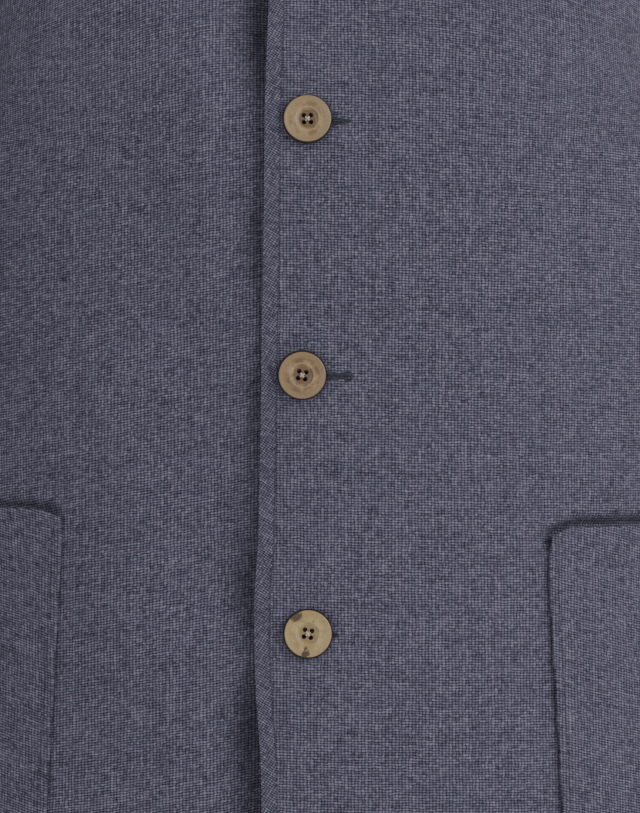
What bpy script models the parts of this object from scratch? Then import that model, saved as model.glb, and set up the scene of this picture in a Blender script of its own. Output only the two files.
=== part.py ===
"""A closed-neck jacket with a band collar, long sleeves and two patch pockets, filled out as worn.

Metres, +Z up, the front faces -Y and the wearer's left is +X.
The origin is the middle of the base of the neck, level with the shoulder points.
"""

import math
from collections import namedtuple

import bmesh
import bpy
import numpy as np
from mathutils import Matrix, Vector

# Cloth and seams
WALL = 0.002
COLLAR_WALL = 0.0024
SEAM_GAP = 0.0003
HALF_GAP = SEAM_GAP / 2

# Front closing
OVERLAP = 0.0175
UNDER_DEPTH = WALL + 3 * SEAM_GAP
UNDER_REACH = 0.0225
UNDER_FADE = 0.034
# How far past the middle the over front's edge runs at each height
EdgePoint = namedtuple("EdgePoint", "z past")
FRONT_EDGE = (
    EdgePoint(-0.700, 0.0176),
    EdgePoint(-0.600, 0.0186),
    EdgePoint(-0.5145, 0.0192),
    EdgePoint(-0.4760, 0.0216),
    EdgePoint(-0.4430, 0.0221),
    EdgePoint(-0.4180, 0.0204),
    EdgePoint(-0.3490, 0.0192),
    EdgePoint(-0.3045, 0.0183),
    EdgePoint(-0.2345, 0.0175),
    EdgePoint(-0.1930, 0.0163),
    EdgePoint(-0.0920, 0.0160),
)

# Buttons
BUTTON_DIAMETER = 0.020
BUTTON_SPACING = 0.1075
TOP_BUTTON_Z = -0.1345
BUTTON_SHIFTS = (0.0, 0.0004, -0.0020, 0.0004, 0.0)
BUTTON_SIDES = 20
HOLE_DIAMETER = 0.0019
HOLE_PITCH = 0.00285
HOLE_SIDES = 8
# Half of the button's turned outline, from the middle of its back to the middle of its face, in mm
BUTTON_OUTLINE = (
    (0.0, 0.0),
    (8.6, 0.0),
    (9.8, 0.7),
    (10.0, 1.6),
    (9.5, 2.6),
    (8.7, 2.8),
    (7.4, 2.4),
    (4.9, 2.2),
    (4.4, 1.5),
    (0.0, 1.4),
)

# Collar
COLLAR_HEIGHT = 0.038
COLLAR_CORNER = 0.012
COLLAR_END = 0.003
COLLAR_LEAN = math.radians(11)
COLLAR_TURN = 0.010
COLLAR_RISES = (0.0, 0.18, 0.45, 0.72, 1.0)
COLLAR_FIRST_STEPS = (0.0, 0.2, 0.5)

# Pockets, on the front's own columns of points
POCKET_FRONT_COLUMN = 5
POCKET_BACK_COLUMN = 13
POCKET_CORNER = 0.038
POCKET_LIFT = 0.00045
POCKET_GAPE = 0.0028
MOUTH_SHIFT = {"left": -0.0048, "right": 0.0013}

# Where each column of points lies across a front or back half, from the overlap to the seam
COLUMN_SHARES = (
    0.0, 0.112, 0.223, 0.333, 0.370, 0.435, 0.535, 0.634, 0.733, 0.833, 0.898, 0.933, 1.0
)
EDGE, MIDDLE, INNER = 0, 1, 2
OUTER = INNER + len(COLUMN_SHARES) - 1

# Sections of one half of the body, from the front hem over the shoulder to the back hem.
# steps: rows of faces up to the next section; in: on the middle line or the neckline;
# out: on the side seam or the armhole; swing: which way the cloth points there, in degrees
# from straight out; fall: its slope there; lead: how far its start follows the straight line
# to the seam; full: how square the section is.
Section = namedtuple(
    "Section", "name steps in_x in_y in_z out_x out_y out_z swing fall lead full"
)
SECTIONS = (
    Section("front hem", 2, 0.0, -0.1365, -0.700, 0.200, 0.034, -0.697, 104, 0.0, 0.0, 0.60),
    Section("pocket foot", 3, 0.0, -0.1350, -0.626, 0.198, 0.034, -0.624, 104, 0.0, 0.0, 0.60),
    Section("front hip", 3, 0.0, -0.1315, -0.540, 0.191, 0.033, -0.538, 103, 0.0, 0.0, 0.60),
    Section("pocket mouth", 2, 0.0, -0.1260, -0.411, 0.179, 0.028, -0.411, 102, 0.0, 0.0, 0.60),
    Section("front waist", 2, 0.0, -0.1290, -0.335, 0.183, 0.020, -0.330, 98, 0.0, 0.0, 0.61),
    Section("front underarm", 2, 0.0, -0.1335, -0.262, 0.188, 0.012, -0.238, 92, 0.0, 0.0, 0.62),
    Section("low pitch", 2, 0.0, -0.1255, -0.208, 0.170, -0.038, -0.205, 62, 0.0, 0.0, 0.58),
    Section("front pitch", 2, 0.0, -0.1080, -0.155, 0.162, -0.050, -0.160, 42, -0.05, 0.0, 0.52),
    Section("throat", 2, 0.0, -0.0750, -0.092, 0.166, -0.046, -0.118, 28, -0.15, 0.0, 0.46),
    Section("neck side", 2, 0.046, -0.058, -0.074, 0.182, -0.030, -0.083, 15, -0.25, 0.6, 0.38),
    Section("neck high", 2, 0.0685, -0.030, -0.034, 0.203, -0.009, -0.058, 6, -0.30, 0.9, 0.36),
    Section("shoulder", 2, 0.0755, 0.006, -0.002, 0.220, 0.012, -0.048, 0, -0.33, 1.0, 0.36),
    Section("nape high", 2, 0.069, 0.036, 0.002, 0.209, 0.034, -0.060, -7, -0.30, 0.9, 0.36),
    Section("nape side", 2, 0.043, 0.056, 0.001, 0.195, 0.050, -0.084, -17, -0.25, 0.6, 0.38),
    Section("nape", 2, 0.0, 0.0640, 0.000, 0.184, 0.060, -0.114, -28, -0.15, 0.0, 0.46),
    Section("yoke", 2, 0.0, 0.0900, -0.060, 0.177, 0.062, -0.150, -42, -0.05, 0.0, 0.52),
    Section("blade", 2, 0.0, 0.1120, -0.130, 0.176, 0.050, -0.200, -64, 0.0, 0.0, 0.58),
    Section("back underarm", 2, 0.0, 0.1210, -0.215, 0.188, 0.012, -0.238, -88, 0.0, 0.0, 0.62),
    Section("back waist", 2, 0.0, 0.1130, -0.325, 0.183, 0.020, -0.330, -82, 0.0, 0.0, 0.61),
    Section("small of back", 3, 0.0, 0.1000, -0.411, 0.179, 0.028, -0.411, -78, 0.0, 0.0, 0.60),
    Section("seat", 3, 0.0, 0.1190, -0.540, 0.191, 0.033, -0.538, -77, 0.0, 0.0, 0.60),
    Section("back foot", 2, 0.0, 0.1250, -0.626, 0.198, 0.034, -0.624, -76, 0.0, 0.0, 0.60),
    Section("back hem", 0, 0.0, 0.1280, -0.700, 0.200, 0.034, -0.697, -76, 0.0, 0.0, 0.60),
)
SECTION_AT = {section.name: place for place, section in enumerate(SECTIONS)}

# Soft folds pressed into the body: from one place to another across X and Z, seen from the front
# or the back, how wide each is and how far it stands out, or in where the height is below zero.
Fold = namedtuple("Fold", "name face x0 z0 x1 z1 width height")
BODY_FOLDS = (
    Fold("long hollow", "front", -0.086, -0.215, -0.050, -0.385, 0.024, -0.0030),
    Fold("chest roll", "front", -0.046, -0.215, -0.028, -0.330, 0.016, 0.0012),
    Fold("pocket pull", "front", -0.080, -0.500, -0.035, -0.600, 0.022, -0.0018),
    Fold("hip drag", "front", 0.045, -0.420, 0.085, -0.330, 0.024, -0.0012),
    Fold("front flare", "front", 0.060, -0.560, 0.075, -0.690, 0.026, 0.0020),
    Fold("blade hollow left", "back", 0.115, -0.190, 0.070, -0.330, 0.026, -0.0030),
    Fold("blade hollow right", "back", -0.120, -0.180, -0.062, -0.310, 0.024, -0.0026),
    Fold("waist ridge left", "back", 0.095, -0.360, 0.060, -0.440, 0.018, 0.0024),
    Fold("waist ridge right", "back", -0.088, -0.375, -0.050, -0.450, 0.018, 0.0026),
    Fold("skirt flare left", "back", 0.082, -0.520, 0.092, -0.690, 0.028, 0.0034),
    Fold("skirt flare right", "back", -0.070, -0.540, -0.086, -0.690, 0.026, 0.0030),
)

# Sections of a sleeve below the armhole: its middle, its half width and its half depth
Ring = namedtuple("Ring", "name steps x y z width depth")
SLEEVE_RINGS = (
    Ring("biceps", 3, 0.2510, 0.012, -0.246, 0.0525, 0.0640),
    Ring("elbow", 3, 0.2830, 0.020, -0.405, 0.0500, 0.0575),
    Ring("forearm", 3, 0.2980, -0.004, -0.530, 0.0450, 0.0525),
    Ring("cuff", 0, 0.3070, -0.046, -0.655, 0.0400, 0.0490),
)
CAP_STEPS = (0.0, 0.13, 0.30, 0.52, 0.76)
CAP_START = 0.55
CAP_END = 0.85
CAP_LEAST = 0.045
UNDER_SLEEVE_COLUMNS = 5

# Creases of a sleeve: how far down it and how far round it they lie, their reach and their height
Crease = namedtuple("Crease", "name down round reach_down reach_round height")
SLEEVE_CREASES = (
    Crease("elbow front low", 0.56, 0.22, 0.045, 0.16, -0.0045),
    Crease("elbow front high", 0.44, 0.27, 0.040, 0.14, -0.0035),
    Crease("elbow front ridge", 0.50, 0.25, 0.035, 0.15, 0.0030),
    Crease("elbow back", 0.52, 0.76, 0.080, 0.12, 0.0025),
    Crease("wrist break", 0.84, 0.20, 0.050, 0.18, -0.0025),
)

# Colours of the cloth and of the buttons' horn, linear, with their roughness
CLOTH_COLOUR = (0.087, 0.084, 0.117)
HORN_COLOURS = (
    (0.300, 0.200, 0.110),
    (0.300, 0.212, 0.122),
    (0.270, 0.184, 0.104),
    (0.376, 0.283, 0.144),
    (0.300, 0.200, 0.110),
)


def clear_scene():
    """Removes every object that the file opened with."""
    for thing in list(bpy.data.objects):
        bpy.data.objects.remove(thing, do_unlink=True)


def unit(vectors):
    """The same directions, one unit long."""
    size = np.linalg.norm(vectors, axis=-1, keepdims=True)
    return vectors / np.maximum(size, 1e-12)


def smooth_step(share):
    """Turns 0 to 1 smoothly as share does, and stays at either end."""
    share = np.clip(share, 0.0, 1.0)
    return share * share * (3.0 - 2.0 * share)


def through(knots, position):
    """The smooth curve through the knots, at a place counted in knots from the first."""
    knots = np.asarray(knots, float)
    last = len(knots) - 1
    start = min(int(position), last - 1)
    share = position - start
    here, there = knots[start], knots[start + 1]
    before = knots[start - 1] if start > 0 else 2 * here - there
    after = knots[start + 2] if start + 2 <= last else 2 * there - here
    leave, arrive = (there - before) / 2, (after - here) / 2
    square, cube = share**2, share**3
    return (
        (2 * cube - 3 * square + 1) * here
        + (cube - 2 * square + share) * leave
        + (3 * square - 2 * cube) * there
        + (cube - square) * arrive
    )


def on_stretch(columns, position, first, last):
    """Values of the named columns of SECTIONS on the smooth curve from section first to last."""
    knots = [[getattr(section, name) for name in columns] for section in SECTIONS[first : last + 1]]
    return through(knots, position - first)


def stretch_of(position, corners):
    """The first and last section of the stretch between two corners that a position lies in."""
    for first, last in zip(corners, corners[1:]):
        if position <= last:
            return first, last
    return corners[-2], corners[-1]


SIDE_CORNERS = (0, SECTION_AT["front underarm"], SECTION_AT["back underarm"], len(SECTIONS) - 1)
THROAT, NAPE = SECTION_AT["throat"], SECTION_AT["nape"]
INNER_COLUMNS = ("in_x", "in_y", "in_z")
OUTER_COLUMNS = ("out_x", "out_y", "out_z")
SHAPE_COLUMNS = ("swing", "fall", "lead", "full")


def section_curve(position, inner):
    """A section's cloth from its inner point to the seam, as close points and their distances."""
    outer = on_stretch(OUTER_COLUMNS, position, *stretch_of(position, SIDE_CORNERS))
    shape = on_stretch(SHAPE_COLUMNS, position, *stretch_of(position, SIDE_CORNERS))
    swing, fall, lead, full = shape
    swing = math.radians(swing)
    across, deep = abs(outer[0] - inner[0]), abs(outer[1] - inner[1])
    chord = unit(outer - inner)
    start = unit((1 - lead) * np.array((1.0, 0.0, 0.0)) + lead * chord)
    end = unit(np.array((math.cos(swing), math.sin(swing), fall)))
    reach = full * (across * abs(math.cos(swing)) + deep * abs(math.sin(swing)))
    second, third = inner + full * across * start, outer - reach * end
    share = np.linspace(0.0, 1.0, 121)[:, None]
    rest = 1 - share
    line = rest**3 * inner + 3 * rest**2 * share * second + 3 * rest * share**2 * third
    line = line + share**3 * outer
    steps = np.linalg.norm(np.diff(line, axis=0), axis=1)
    return line, np.concatenate([[0.0], np.cumsum(steps)])


def at_distance(line, distances, wanted):
    """Points of a curve at the wanted distances along it."""
    return np.stack([np.interp(wanted, distances, line[:, axis]) for axis in range(3)], axis=1)


def edge_past(height):
    """How far past the middle the over front's edge runs at a height."""
    heights = [point.z for point in FRONT_EDGE]
    place = np.interp(height, heights, np.arange(len(heights)))
    return float(through([[point.past] for point in FRONT_EDGE], place)[0])


def middle_section(position, side):
    """A section that crosses the middle line: its points from the front's edge to the seam."""
    corner = (0, THROAT) if position <= THROAT else (NAPE, len(SECTIONS) - 1)
    line, distances = section_curve(position, on_stretch(INNER_COLUMNS, position, *corner))
    past = edge_past(line[0, 2]) if side == "left" else OVERLAP
    edge, inner = np.interp((past, OVERLAP), line[:, 0], distances)
    wanted = inner + (distances[-1] - inner) * np.array(COLUMN_SHARES)
    points = at_distance(line, distances, np.concatenate([[edge, 0.0], wanted]))
    points[EDGE, 0] *= -1
    return points


def neck_section(position, neckline):
    """A section that starts at the neckline: its points, the first three all on the neckline."""
    line, distances = section_curve(position, through(neckline, position - THROAT))
    wanted = distances[-1] * np.array(COLUMN_SHARES)
    points = at_distance(line, distances, wanted)
    return np.concatenate([points[:1], points[:1], points])


def section_positions():
    """Where the rows of points lie, counted in sections."""
    found = [0.0]
    for place, section in enumerate(SECTIONS[:-1]):
        found += [place + (step + 1) / section.steps for step in range(section.steps)]
    return np.array(found)


POSITIONS = section_positions()
ROW_AT = {name: int(np.argmin(abs(POSITIONS - place))) for name, place in SECTION_AT.items()}
THROAT_ROW, NAPE_ROW, SHOULDER_ROW = ROW_AT["throat"], ROW_AT["nape"], ROW_AT["shoulder"]
UNDERARM_ROW, BACK_UNDERARM_ROW = ROW_AT["front underarm"], ROW_AT["back underarm"]


def body_half(side):
    """Points of one half of the body, set on +X and without folds: a row for each position."""
    throat, nape = middle_section(THROAT, side), middle_section(NAPE, side)
    sides = [[s.in_x, s.in_y, s.in_z] for s in SECTIONS[THROAT + 1 : NAPE]]
    neckline = [throat[INNER], *sides, nape[INNER]]
    rows = []
    for position in POSITIONS:
        if THROAT < position < NAPE:
            rows.append(neck_section(position, neckline))
        else:
            rows.append(middle_section(position, side))
    return np.array(rows)


def grid_normals(points):
    """Which way the cloth faces at each point of a grid of the left side."""
    return unit(np.cross(np.gradient(points, axis=1), np.gradient(points, axis=0)))


def body_normals(points):
    """Normals of one half, the same on both sides of the side seam and level at the back's middle."""
    normals = grid_normals(points)
    last = len(points) - 1
    for row in range(UNDERARM_ROW + 1):
        both = unit(normals[row, OUTER] + normals[last - row, OUTER])
        normals[row, OUTER] = normals[last - row, OUTER] = both
    normals[NAPE_ROW:, MIDDLE, 0] = 0.0
    return unit(normals)


def fold_height(points, normals):
    """How far the body's folds move each point along its normal."""
    total = np.zeros(points.shape[:2])
    plan = points[..., [0, 2]]
    for fold in BODY_FOLDS:
        start, end = np.array((fold.x0, fold.z0)), np.array((fold.x1, fold.z1))
        run = end - start
        share = np.clip((plan - start) @ run / (run @ run), 0.0, 1.0)
        away = np.linalg.norm(plan - start - share[..., None] * run, axis=-1)
        facing = normals[..., 1] * (-1.0 if fold.face == "front" else 1.0)
        total += fold.height * np.exp(-((away / fold.width) ** 2)) * smooth_step(facing * 2)
    seam_fade = smooth_step((OUTER - np.arange(points.shape[1])) / 3)
    return total * seam_fade


def mirrored(points):
    """The same points on the other side of the middle."""
    return points * np.array((-1.0, 1.0, 1.0))


def body_side(side):
    """Points and normals of the body on one side, the under front sunk below the over front."""
    half = body_half(side)
    normals = body_normals(half)
    if side == "right":
        half, normals = mirrored(half), mirrored(normals)
    half = half + fold_height(half, normals)[..., None] * normals
    if side == "right":
        front = np.arange(len(half)) <= SHOULDER_ROW
        past_edge = (-UNDER_REACH - half[..., 0]) / UNDER_FADE
        sink = UNDER_DEPTH * (1 - smooth_step(past_edge)) * front[:, None]
        half = half - sink[..., None] * normals
        return half, mirrored(body_normals(mirrored(half)))
    return half, body_normals(half)


def new_object(name, mesh, colour, roughness, sharp_angle=40):
    """An object with its own material, shaded smooth but for its sharp edges."""
    material = bpy.data.materials.new(name)
    material.use_nodes = True
    shader = material.node_tree.nodes["Principled BSDF"]
    shader.inputs["Base Color"].default_value = (*colour, 1.0)
    shader.inputs["Roughness"].default_value = roughness
    shader.inputs["Metallic"].default_value = 0.0
    mesh.shade_smooth()
    mesh.set_sharp_from_angle(angle=math.radians(sharp_angle))
    thing = bpy.data.objects.new(name, mesh)
    thing.data.materials.append(material)
    bpy.context.scene.collection.objects.link(thing)
    return thing


def add_sheet(frame, order, outer, first):
    """Adds a grid of faces through outer's points, each vertex marked with its place in the list."""
    rows, columns = outer.shape[:2]
    made = bmesh.ops.create_grid(
        frame, x_segments=columns - 1, y_segments=rows - 1, size=1.0
    )["verts"]
    for vertex in made:
        column = round((vertex.co.x + 1) / 2 * (columns - 1))
        row = round((vertex.co.y + 1) / 2 * (rows - 1))
        vertex[order] = first + row * columns + column
        vertex.co = outer[row, column]


def cloth_piece(name, sheets, wall=WALL, dropped=()):
    """A closed cloth wall from sheets, grids of (points, normals) that are of one size.

    The sheets may share an edge. dropped names the (row, column) faces of each that aren't cloth.
    """
    frame = bmesh.new()
    order = frame.verts.layers.int.new("place")
    inner = []
    for points, normals in sheets:
        add_sheet(frame, order, points, len(inner))
        inner += list((points - wall * normals).reshape(-1, 3))
    columns = sheets[0][0].shape[1]
    sheet_size = sheets[0][0].shape[0] * columns
    empty = []
    for face in frame.faces:
        lowest = min(vertex[order] % sheet_size for vertex in face.verts)
        if divmod(lowest, columns) in dropped:
            empty.append(face)
    bmesh.ops.delete(frame, geom=empty, context="FACES")
    loose = [vertex for vertex in frame.verts if not vertex.link_faces]
    bmesh.ops.delete(frame, geom=loose, context="VERTS")
    bmesh.ops.remove_doubles(frame, verts=frame.verts[:], dist=1e-6)
    grown = bmesh.ops.extrude_face_region(frame, geom=frame.faces[:], use_keep_orig=True)
    for part in grown["geom"]:
        if isinstance(part, bmesh.types.BMVert):
            part.co = inner[part[order]]
    bmesh.ops.recalc_face_normals(frame, faces=frame.faces[:])
    frame.verts.layers.int.remove(order)
    mesh = bpy.data.meshes.new(name)
    frame.to_mesh(mesh)
    frame.free()
    return new_object(name, mesh, CLOTH_COLOUR, 0.9)


def pulled_back(points, edge, axis, by=HALF_GAP):
    """The grid with one edge row or column moved into the cloth, which leaves half a seam's gap."""
    points = points.copy()
    grid = points if axis == 0 else points.swapaxes(0, 1)
    inside = 1 if edge == 0 else -2
    edge = 0 if edge == 0 else -1
    grid[edge] += by * unit(grid[inside] - grid[edge])
    return points


def front_piece(name, points, normals):
    """A front: from the hem to the shoulder seam, its neckline cut from the overlap up."""
    rows = slice(0, SHOULDER_ROW + 1)
    points, normals = points[rows], normals[rows]
    points = pulled_back(points, -1, 1)
    points = pulled_back(points, -1, 0)
    for row in range(THROAT_ROW + 1, len(points)):
        points[row, INNER] += HALF_GAP * unit(points[row, INNER + 1] - points[row, INNER])
    down = unit(points[THROAT_ROW - 1, : INNER + 1] - points[THROAT_ROW, : INNER + 1])
    points[THROAT_ROW, : INNER + 1] += HALF_GAP * down
    cut = {(row, column) for row in range(THROAT_ROW, SHOULDER_ROW) for column in (EDGE, MIDDLE)}
    return cloth_piece(name, [(points, normals)], dropped=cut)


def back_piece(left, right):
    """The back in one piece: both halves from the shoulder seams down, joined at the middle."""
    sheets = []
    for points, normals in (left, right):
        points, normals = points[SHOULDER_ROW:, MIDDLE:], normals[SHOULDER_ROW:, MIDDLE:]
        points = pulled_back(points, -1, 1)
        points = pulled_back(points, 0, 0)
        corner = NAPE_ROW - SHOULDER_ROW
        for row in range(corner):
            points[row, 1] += HALF_GAP * unit(points[row, 2] - points[row, 1])
        down = unit(points[corner + 1, :2] - points[corner, :2])
        points[corner, :2] += HALF_GAP * down
        sheets.append((points, normals))
    cut = {(row, 0) for row in range(NAPE_ROW - SHOULDER_ROW)}
    return cloth_piece("back", sheets, dropped=cut)


def loop_directions(points):
    """Which way a closed loop runs at each of its points."""
    return unit(np.roll(points, -1, axis=0) - np.roll(points, 1, axis=0))


def sleeve_axis():
    """Middles, sizes and directions of the sleeve's rings below the armhole."""
    knots = [[r.x, r.y, r.z, r.width, r.depth] for r in SLEEVE_RINGS]
    places = [0.0]
    for place, ring in enumerate(SLEEVE_RINGS[:-1]):
        places += [place + (step + 1) / ring.steps for step in range(ring.steps)]
    rings = np.array([through(knots, place) for place in places])
    return rings, unit(np.gradient(rings[:, :3], axis=0))


def ring_points(ring, direction, angles):
    """Points round one ring of a sleeve: 0 faces the body and a quarter turn faces forwards."""
    inward = np.array((-1.0, 0.0, 0.0))
    inward = unit(inward - (inward @ direction) * direction)
    forward = np.cross(direction, inward)
    forward = forward if forward[1] < 0 else -forward
    turned = ring[3] * np.cos(angles)[:, None] * inward
    turned = turned + ring[4] * np.sin(angles)[:, None] * forward
    return ring[:3] + turned


def armhole(points, normals):
    """The armhole from the armpit up its front: points, normals and the way out of the body."""
    rows = range(UNDERARM_ROW, BACK_UNDERARM_ROW)
    edge = np.array([points[row, OUTER] for row in rows])
    facing = np.array([normals[row, OUTER] for row in rows])
    inside = np.array([points[row, OUTER - 1] for row in rows])
    inside[0] = points[UNDERARM_ROW - 1, OUTER]
    out = unit(np.cross(loop_directions(edge), facing))
    away = edge - inside
    out *= np.sign((out * away).sum(axis=1))[:, None]
    return edge, facing, out


def sleeve_angles(edge):
    """Where each armhole point comes to lie round the sleeve: its front half is half a turn."""
    tip = SHOULDER_ROW - UNDERARM_ROW
    steps = np.linalg.norm(np.roll(edge, -1, axis=0) - edge, axis=1)
    along = np.concatenate([[0.0], np.cumsum(steps)])
    front = along[: tip + 1] / along[tip]
    back = 1 + (along[tip + 1 : -1] - along[tip]) / (along[-1] - along[tip])
    return math.pi * np.concatenate([front, back])


def crease_height(down, turn):
    """How far the sleeve's creases move a point that lies this far down and round it."""
    total = np.zeros(np.broadcast(down, turn).shape)
    for crease in SLEEVE_CREASES:
        round_it = np.abs(turn - crease.round)
        round_it = np.minimum(round_it, 1 - round_it)
        far = ((down - crease.down) / crease.reach_down) ** 2 + (round_it / crease.reach_round) ** 2
        total = total + crease.height * np.exp(-far)
    return total


def sleeve_grid(points, normals):
    """The left sleeve's points and normals: a row for each ring, the armhole's first."""
    edge, facing, out = armhole(points, normals)
    angles = sleeve_angles(edge)
    rings, directions = sleeve_axis()
    biceps = ring_points(rings[0], directions[0], angles)
    far = np.linalg.norm(biceps - edge, axis=1, keepdims=True)
    leave = out * np.maximum(CAP_START * far, CAP_LEAST)
    arrive = directions[0] * np.maximum(CAP_END * far, CAP_LEAST)
    rows = []
    for share in CAP_STEPS:
        square, cube = share**2, share**3
        rows.append(
            (2 * cube - 3 * square + 1) * edge
            + (cube - 2 * square + share) * leave
            + (3 * square - 2 * cube) * biceps
            + (cube - square) * arrive
        )
    rows += [ring_points(ring, way, angles) for ring, way in zip(rings, directions)]
    grid = np.array(rows)
    closed = np.concatenate([grid[:, -1:], grid, grid[:, :1]], axis=1)
    faces = grid_normals(closed)[:, 1:-1]
    check = (faces[-1] * (grid[-1] - rings[-1, :3])).sum()
    faces = faces * (1.0 if check > 0 else -1.0)
    faces[0] = facing
    down = np.linspace(0.0, 1.0, len(grid))[:, None]
    lift = crease_height(down, angles[None, :] / (2 * math.pi))
    grid = grid + lift[..., None] * faces
    grid[0] = edge + HALF_GAP * out
    return grid, faces


def sleeve_pieces(side, grid, faces):
    """The top sleeve and the under sleeve, parted along the front and back sleeve seams."""
    if side == "right":
        grid, faces = mirrored(grid), mirrored(faces)
    count = grid.shape[1]
    under = [column % count for column in range(-UNDER_SLEEVE_COLUMNS, UNDER_SLEEVE_COLUMNS + 1)]
    top = list(range(UNDER_SLEEVE_COLUMNS, count - UNDER_SLEEVE_COLUMNS + 1))
    for name, columns in (("top_sleeve", top), ("under_sleeve", under)):
        points = pulled_back(pulled_back(grid[:, columns], 0, 1), -1, 1)
        cloth_piece(f"{name}_{side}", [(points, faces[:, columns])])


def collar_base(points, normals):
    """One side's neckline from the collar's end to the back's middle: points, normals, way up."""
    share = [(COLLAR_END / OVERLAP) * (1 - step) + step for step in COLLAR_FIRST_STEPS]
    line, facing = [], []
    for part in share:
        line.append((1 - part) * points[THROAT_ROW, MIDDLE] + part * points[THROAT_ROW, INNER])
        facing.append((1 - part) * normals[THROAT_ROW, MIDDLE] + part * normals[THROAT_ROW, INNER])
    for row in range(THROAT_ROW, NAPE_ROW + 1):
        line.append(points[row, INNER])
        facing.append(normals[row, INNER])
    line.append(points[NAPE_ROW, MIDDLE])
    facing.append(normals[NAPE_ROW, MIDDLE])
    return np.array(line), unit(np.array(facing))


def collar_piece(left, right):
    """The band collar in one piece, standing on the neckline, with rounded front corners."""
    line_left, facing_left = collar_base(*left)
    line_right, facing_right = collar_base(*right)
    line = np.concatenate([line_right, line_left[-2::-1]])
    facing = np.concatenate([facing_right, facing_left[-2::-1]])
    run = unit(np.gradient(line, axis=0))
    up = unit(np.cross(facing, run))
    up *= np.sign(up[len(up) // 2, 2])
    steps = np.linalg.norm(np.diff(line, axis=0), axis=1)
    along = np.concatenate([[0.0], np.cumsum(steps)])
    from_end = np.minimum(along, along[-1] - along)
    into = np.clip(COLLAR_CORNER - from_end, 0.0, None)
    drop = COLLAR_CORNER - np.sqrt(COLLAR_CORNER**2 - into**2)
    height = (COLLAR_HEIGHT - drop)[:, None]
    neck = -line * np.array((1.0, 1.0, 0.0))
    rise = np.array((0.0, 0.0, math.cos(COLLAR_LEAN))) + math.sin(COLLAR_LEAN) * unit(neck)
    base = line + HALF_GAP * up
    bend = base + COLLAR_TURN * up
    top = base + height * rise
    rows = []
    for share in COLLAR_RISES:
        rows.append((1 - share) ** 2 * base + 2 * share * (1 - share) * bend + share**2 * top)
    grid = np.array(rows)
    faces = grid_normals(grid)
    faces *= np.sign((faces[-1] * -neck).sum())
    faces[0] = facing
    return cloth_piece("collar_band", [(grid, faces)], wall=COLLAR_WALL)


def up_column(points, place):
    """A point of a column of points, at a place counted in rows."""
    row = min(int(place), len(points) - 2)
    share = place - row
    return (1 - share) * points[row] + share * points[row + 1]


def pocket_piece(side, points, normals):
    """A patch pocket made from its front's own points, moved out, with its mouth a little open."""
    foot, mouth = ROW_AT["pocket foot"], ROW_AT["pocket mouth"]
    middle_column = (POCKET_FRONT_COLUMN + POCKET_BACK_COLUMN) // 2
    columns = range(POCKET_FRONT_COLUMN, POCKET_BACK_COLUMN + 1)
    foot_line = np.array([points[foot, column] for column in columns])
    steps = np.linalg.norm(np.diff(foot_line, axis=0), axis=1)
    along = np.concatenate([[0.0], np.cumsum(steps)])
    from_side = np.minimum(along, along[-1] - along)
    into = np.clip(POCKET_CORNER - from_side, 0.0, None)
    rise = POCKET_CORNER - np.sqrt(POCKET_CORNER**2 - into**2)
    row_height = (points[mouth, middle_column, 2] - points[foot, middle_column, 2]) / (mouth - foot)
    grid, faces = [], []
    for row in range(mouth - foot + 1):
        share = row / (mouth - foot)
        line, facing = [], []
        for place, column in enumerate(columns):
            low = foot + rise[place] / row_height
            high = mouth + MOUTH_SHIFT[side] / row_height
            at_row = low + (high - low) * share
            out = unit(up_column(normals[:, column], at_row))
            gape = POCKET_GAPE * math.sin(math.pi * along[place] / along[-1]) * share**8
            lift = POCKET_LIFT + WALL + gape
            line.append(up_column(points[:, column], at_row) + lift * out)
            facing.append(out)
        grid.append(line)
        faces.append(facing)
    return cloth_piece(f"pocket_{side}", [(np.array(grid), np.array(faces))])


def button_mesh():
    """One button: its outline turned round its axis, with four thread holes."""
    frame = bmesh.new()
    outline = [frame.verts.new((r / 1000, 0.0, h / 1000)) for r, h in BUTTON_OUTLINE]
    edges = [frame.edges.new(pair) for pair in zip(outline, outline[1:])]
    bmesh.ops.spin(
        frame, geom=outline + edges, cent=(0, 0, 0), axis=(0, 0, 1), angle=2 * math.pi,
        steps=BUTTON_SIDES, use_merge=True,
    )
    bmesh.ops.remove_doubles(frame, verts=frame.verts[:], dist=1e-6)
    bmesh.ops.recalc_face_normals(frame, faces=frame.faces[:])
    blank = bpy.data.meshes.new("button_blank")
    frame.to_mesh(blank)
    frame.free()
    drills = bmesh.new()
    for turn in range(4):
        angle = math.pi / 4 + turn * math.pi / 2
        reach = HOLE_PITCH / math.sqrt(2)
        place = Matrix.Translation((reach * math.cos(angle), reach * math.sin(angle), 0.0015))
        bmesh.ops.create_cone(
            drills, cap_ends=True, segments=HOLE_SIDES, radius1=HOLE_DIAMETER / 2,
            radius2=HOLE_DIAMETER / 2, depth=0.006, matrix=place,
        )
    drill_mesh = bpy.data.meshes.new("drills")
    drills.to_mesh(drill_mesh)
    drills.free()
    blank_object = bpy.data.objects.new("button_blank", blank)
    drill_object = bpy.data.objects.new("drills", drill_mesh)
    for thing in (blank_object, drill_object):
        bpy.context.scene.collection.objects.link(thing)
    cut = blank_object.modifiers.new("thread holes", "BOOLEAN")
    cut.operation = "DIFFERENCE"
    cut.object = drill_object
    graph = bpy.context.evaluated_depsgraph_get()
    finished = bpy.data.meshes.new_from_object(blank_object.evaluated_get(graph))
    for thing in (blank_object, drill_object):
        bpy.data.objects.remove(thing, do_unlink=True)
    return finished


def front_line_point(points, height):
    """The over front's outer point on the button line at a height."""
    line = points[: THROAT_ROW + 1, MIDDLE]
    return np.array([np.interp(height, line[:, 2], line[:, axis]) for axis in range(3)])


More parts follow.
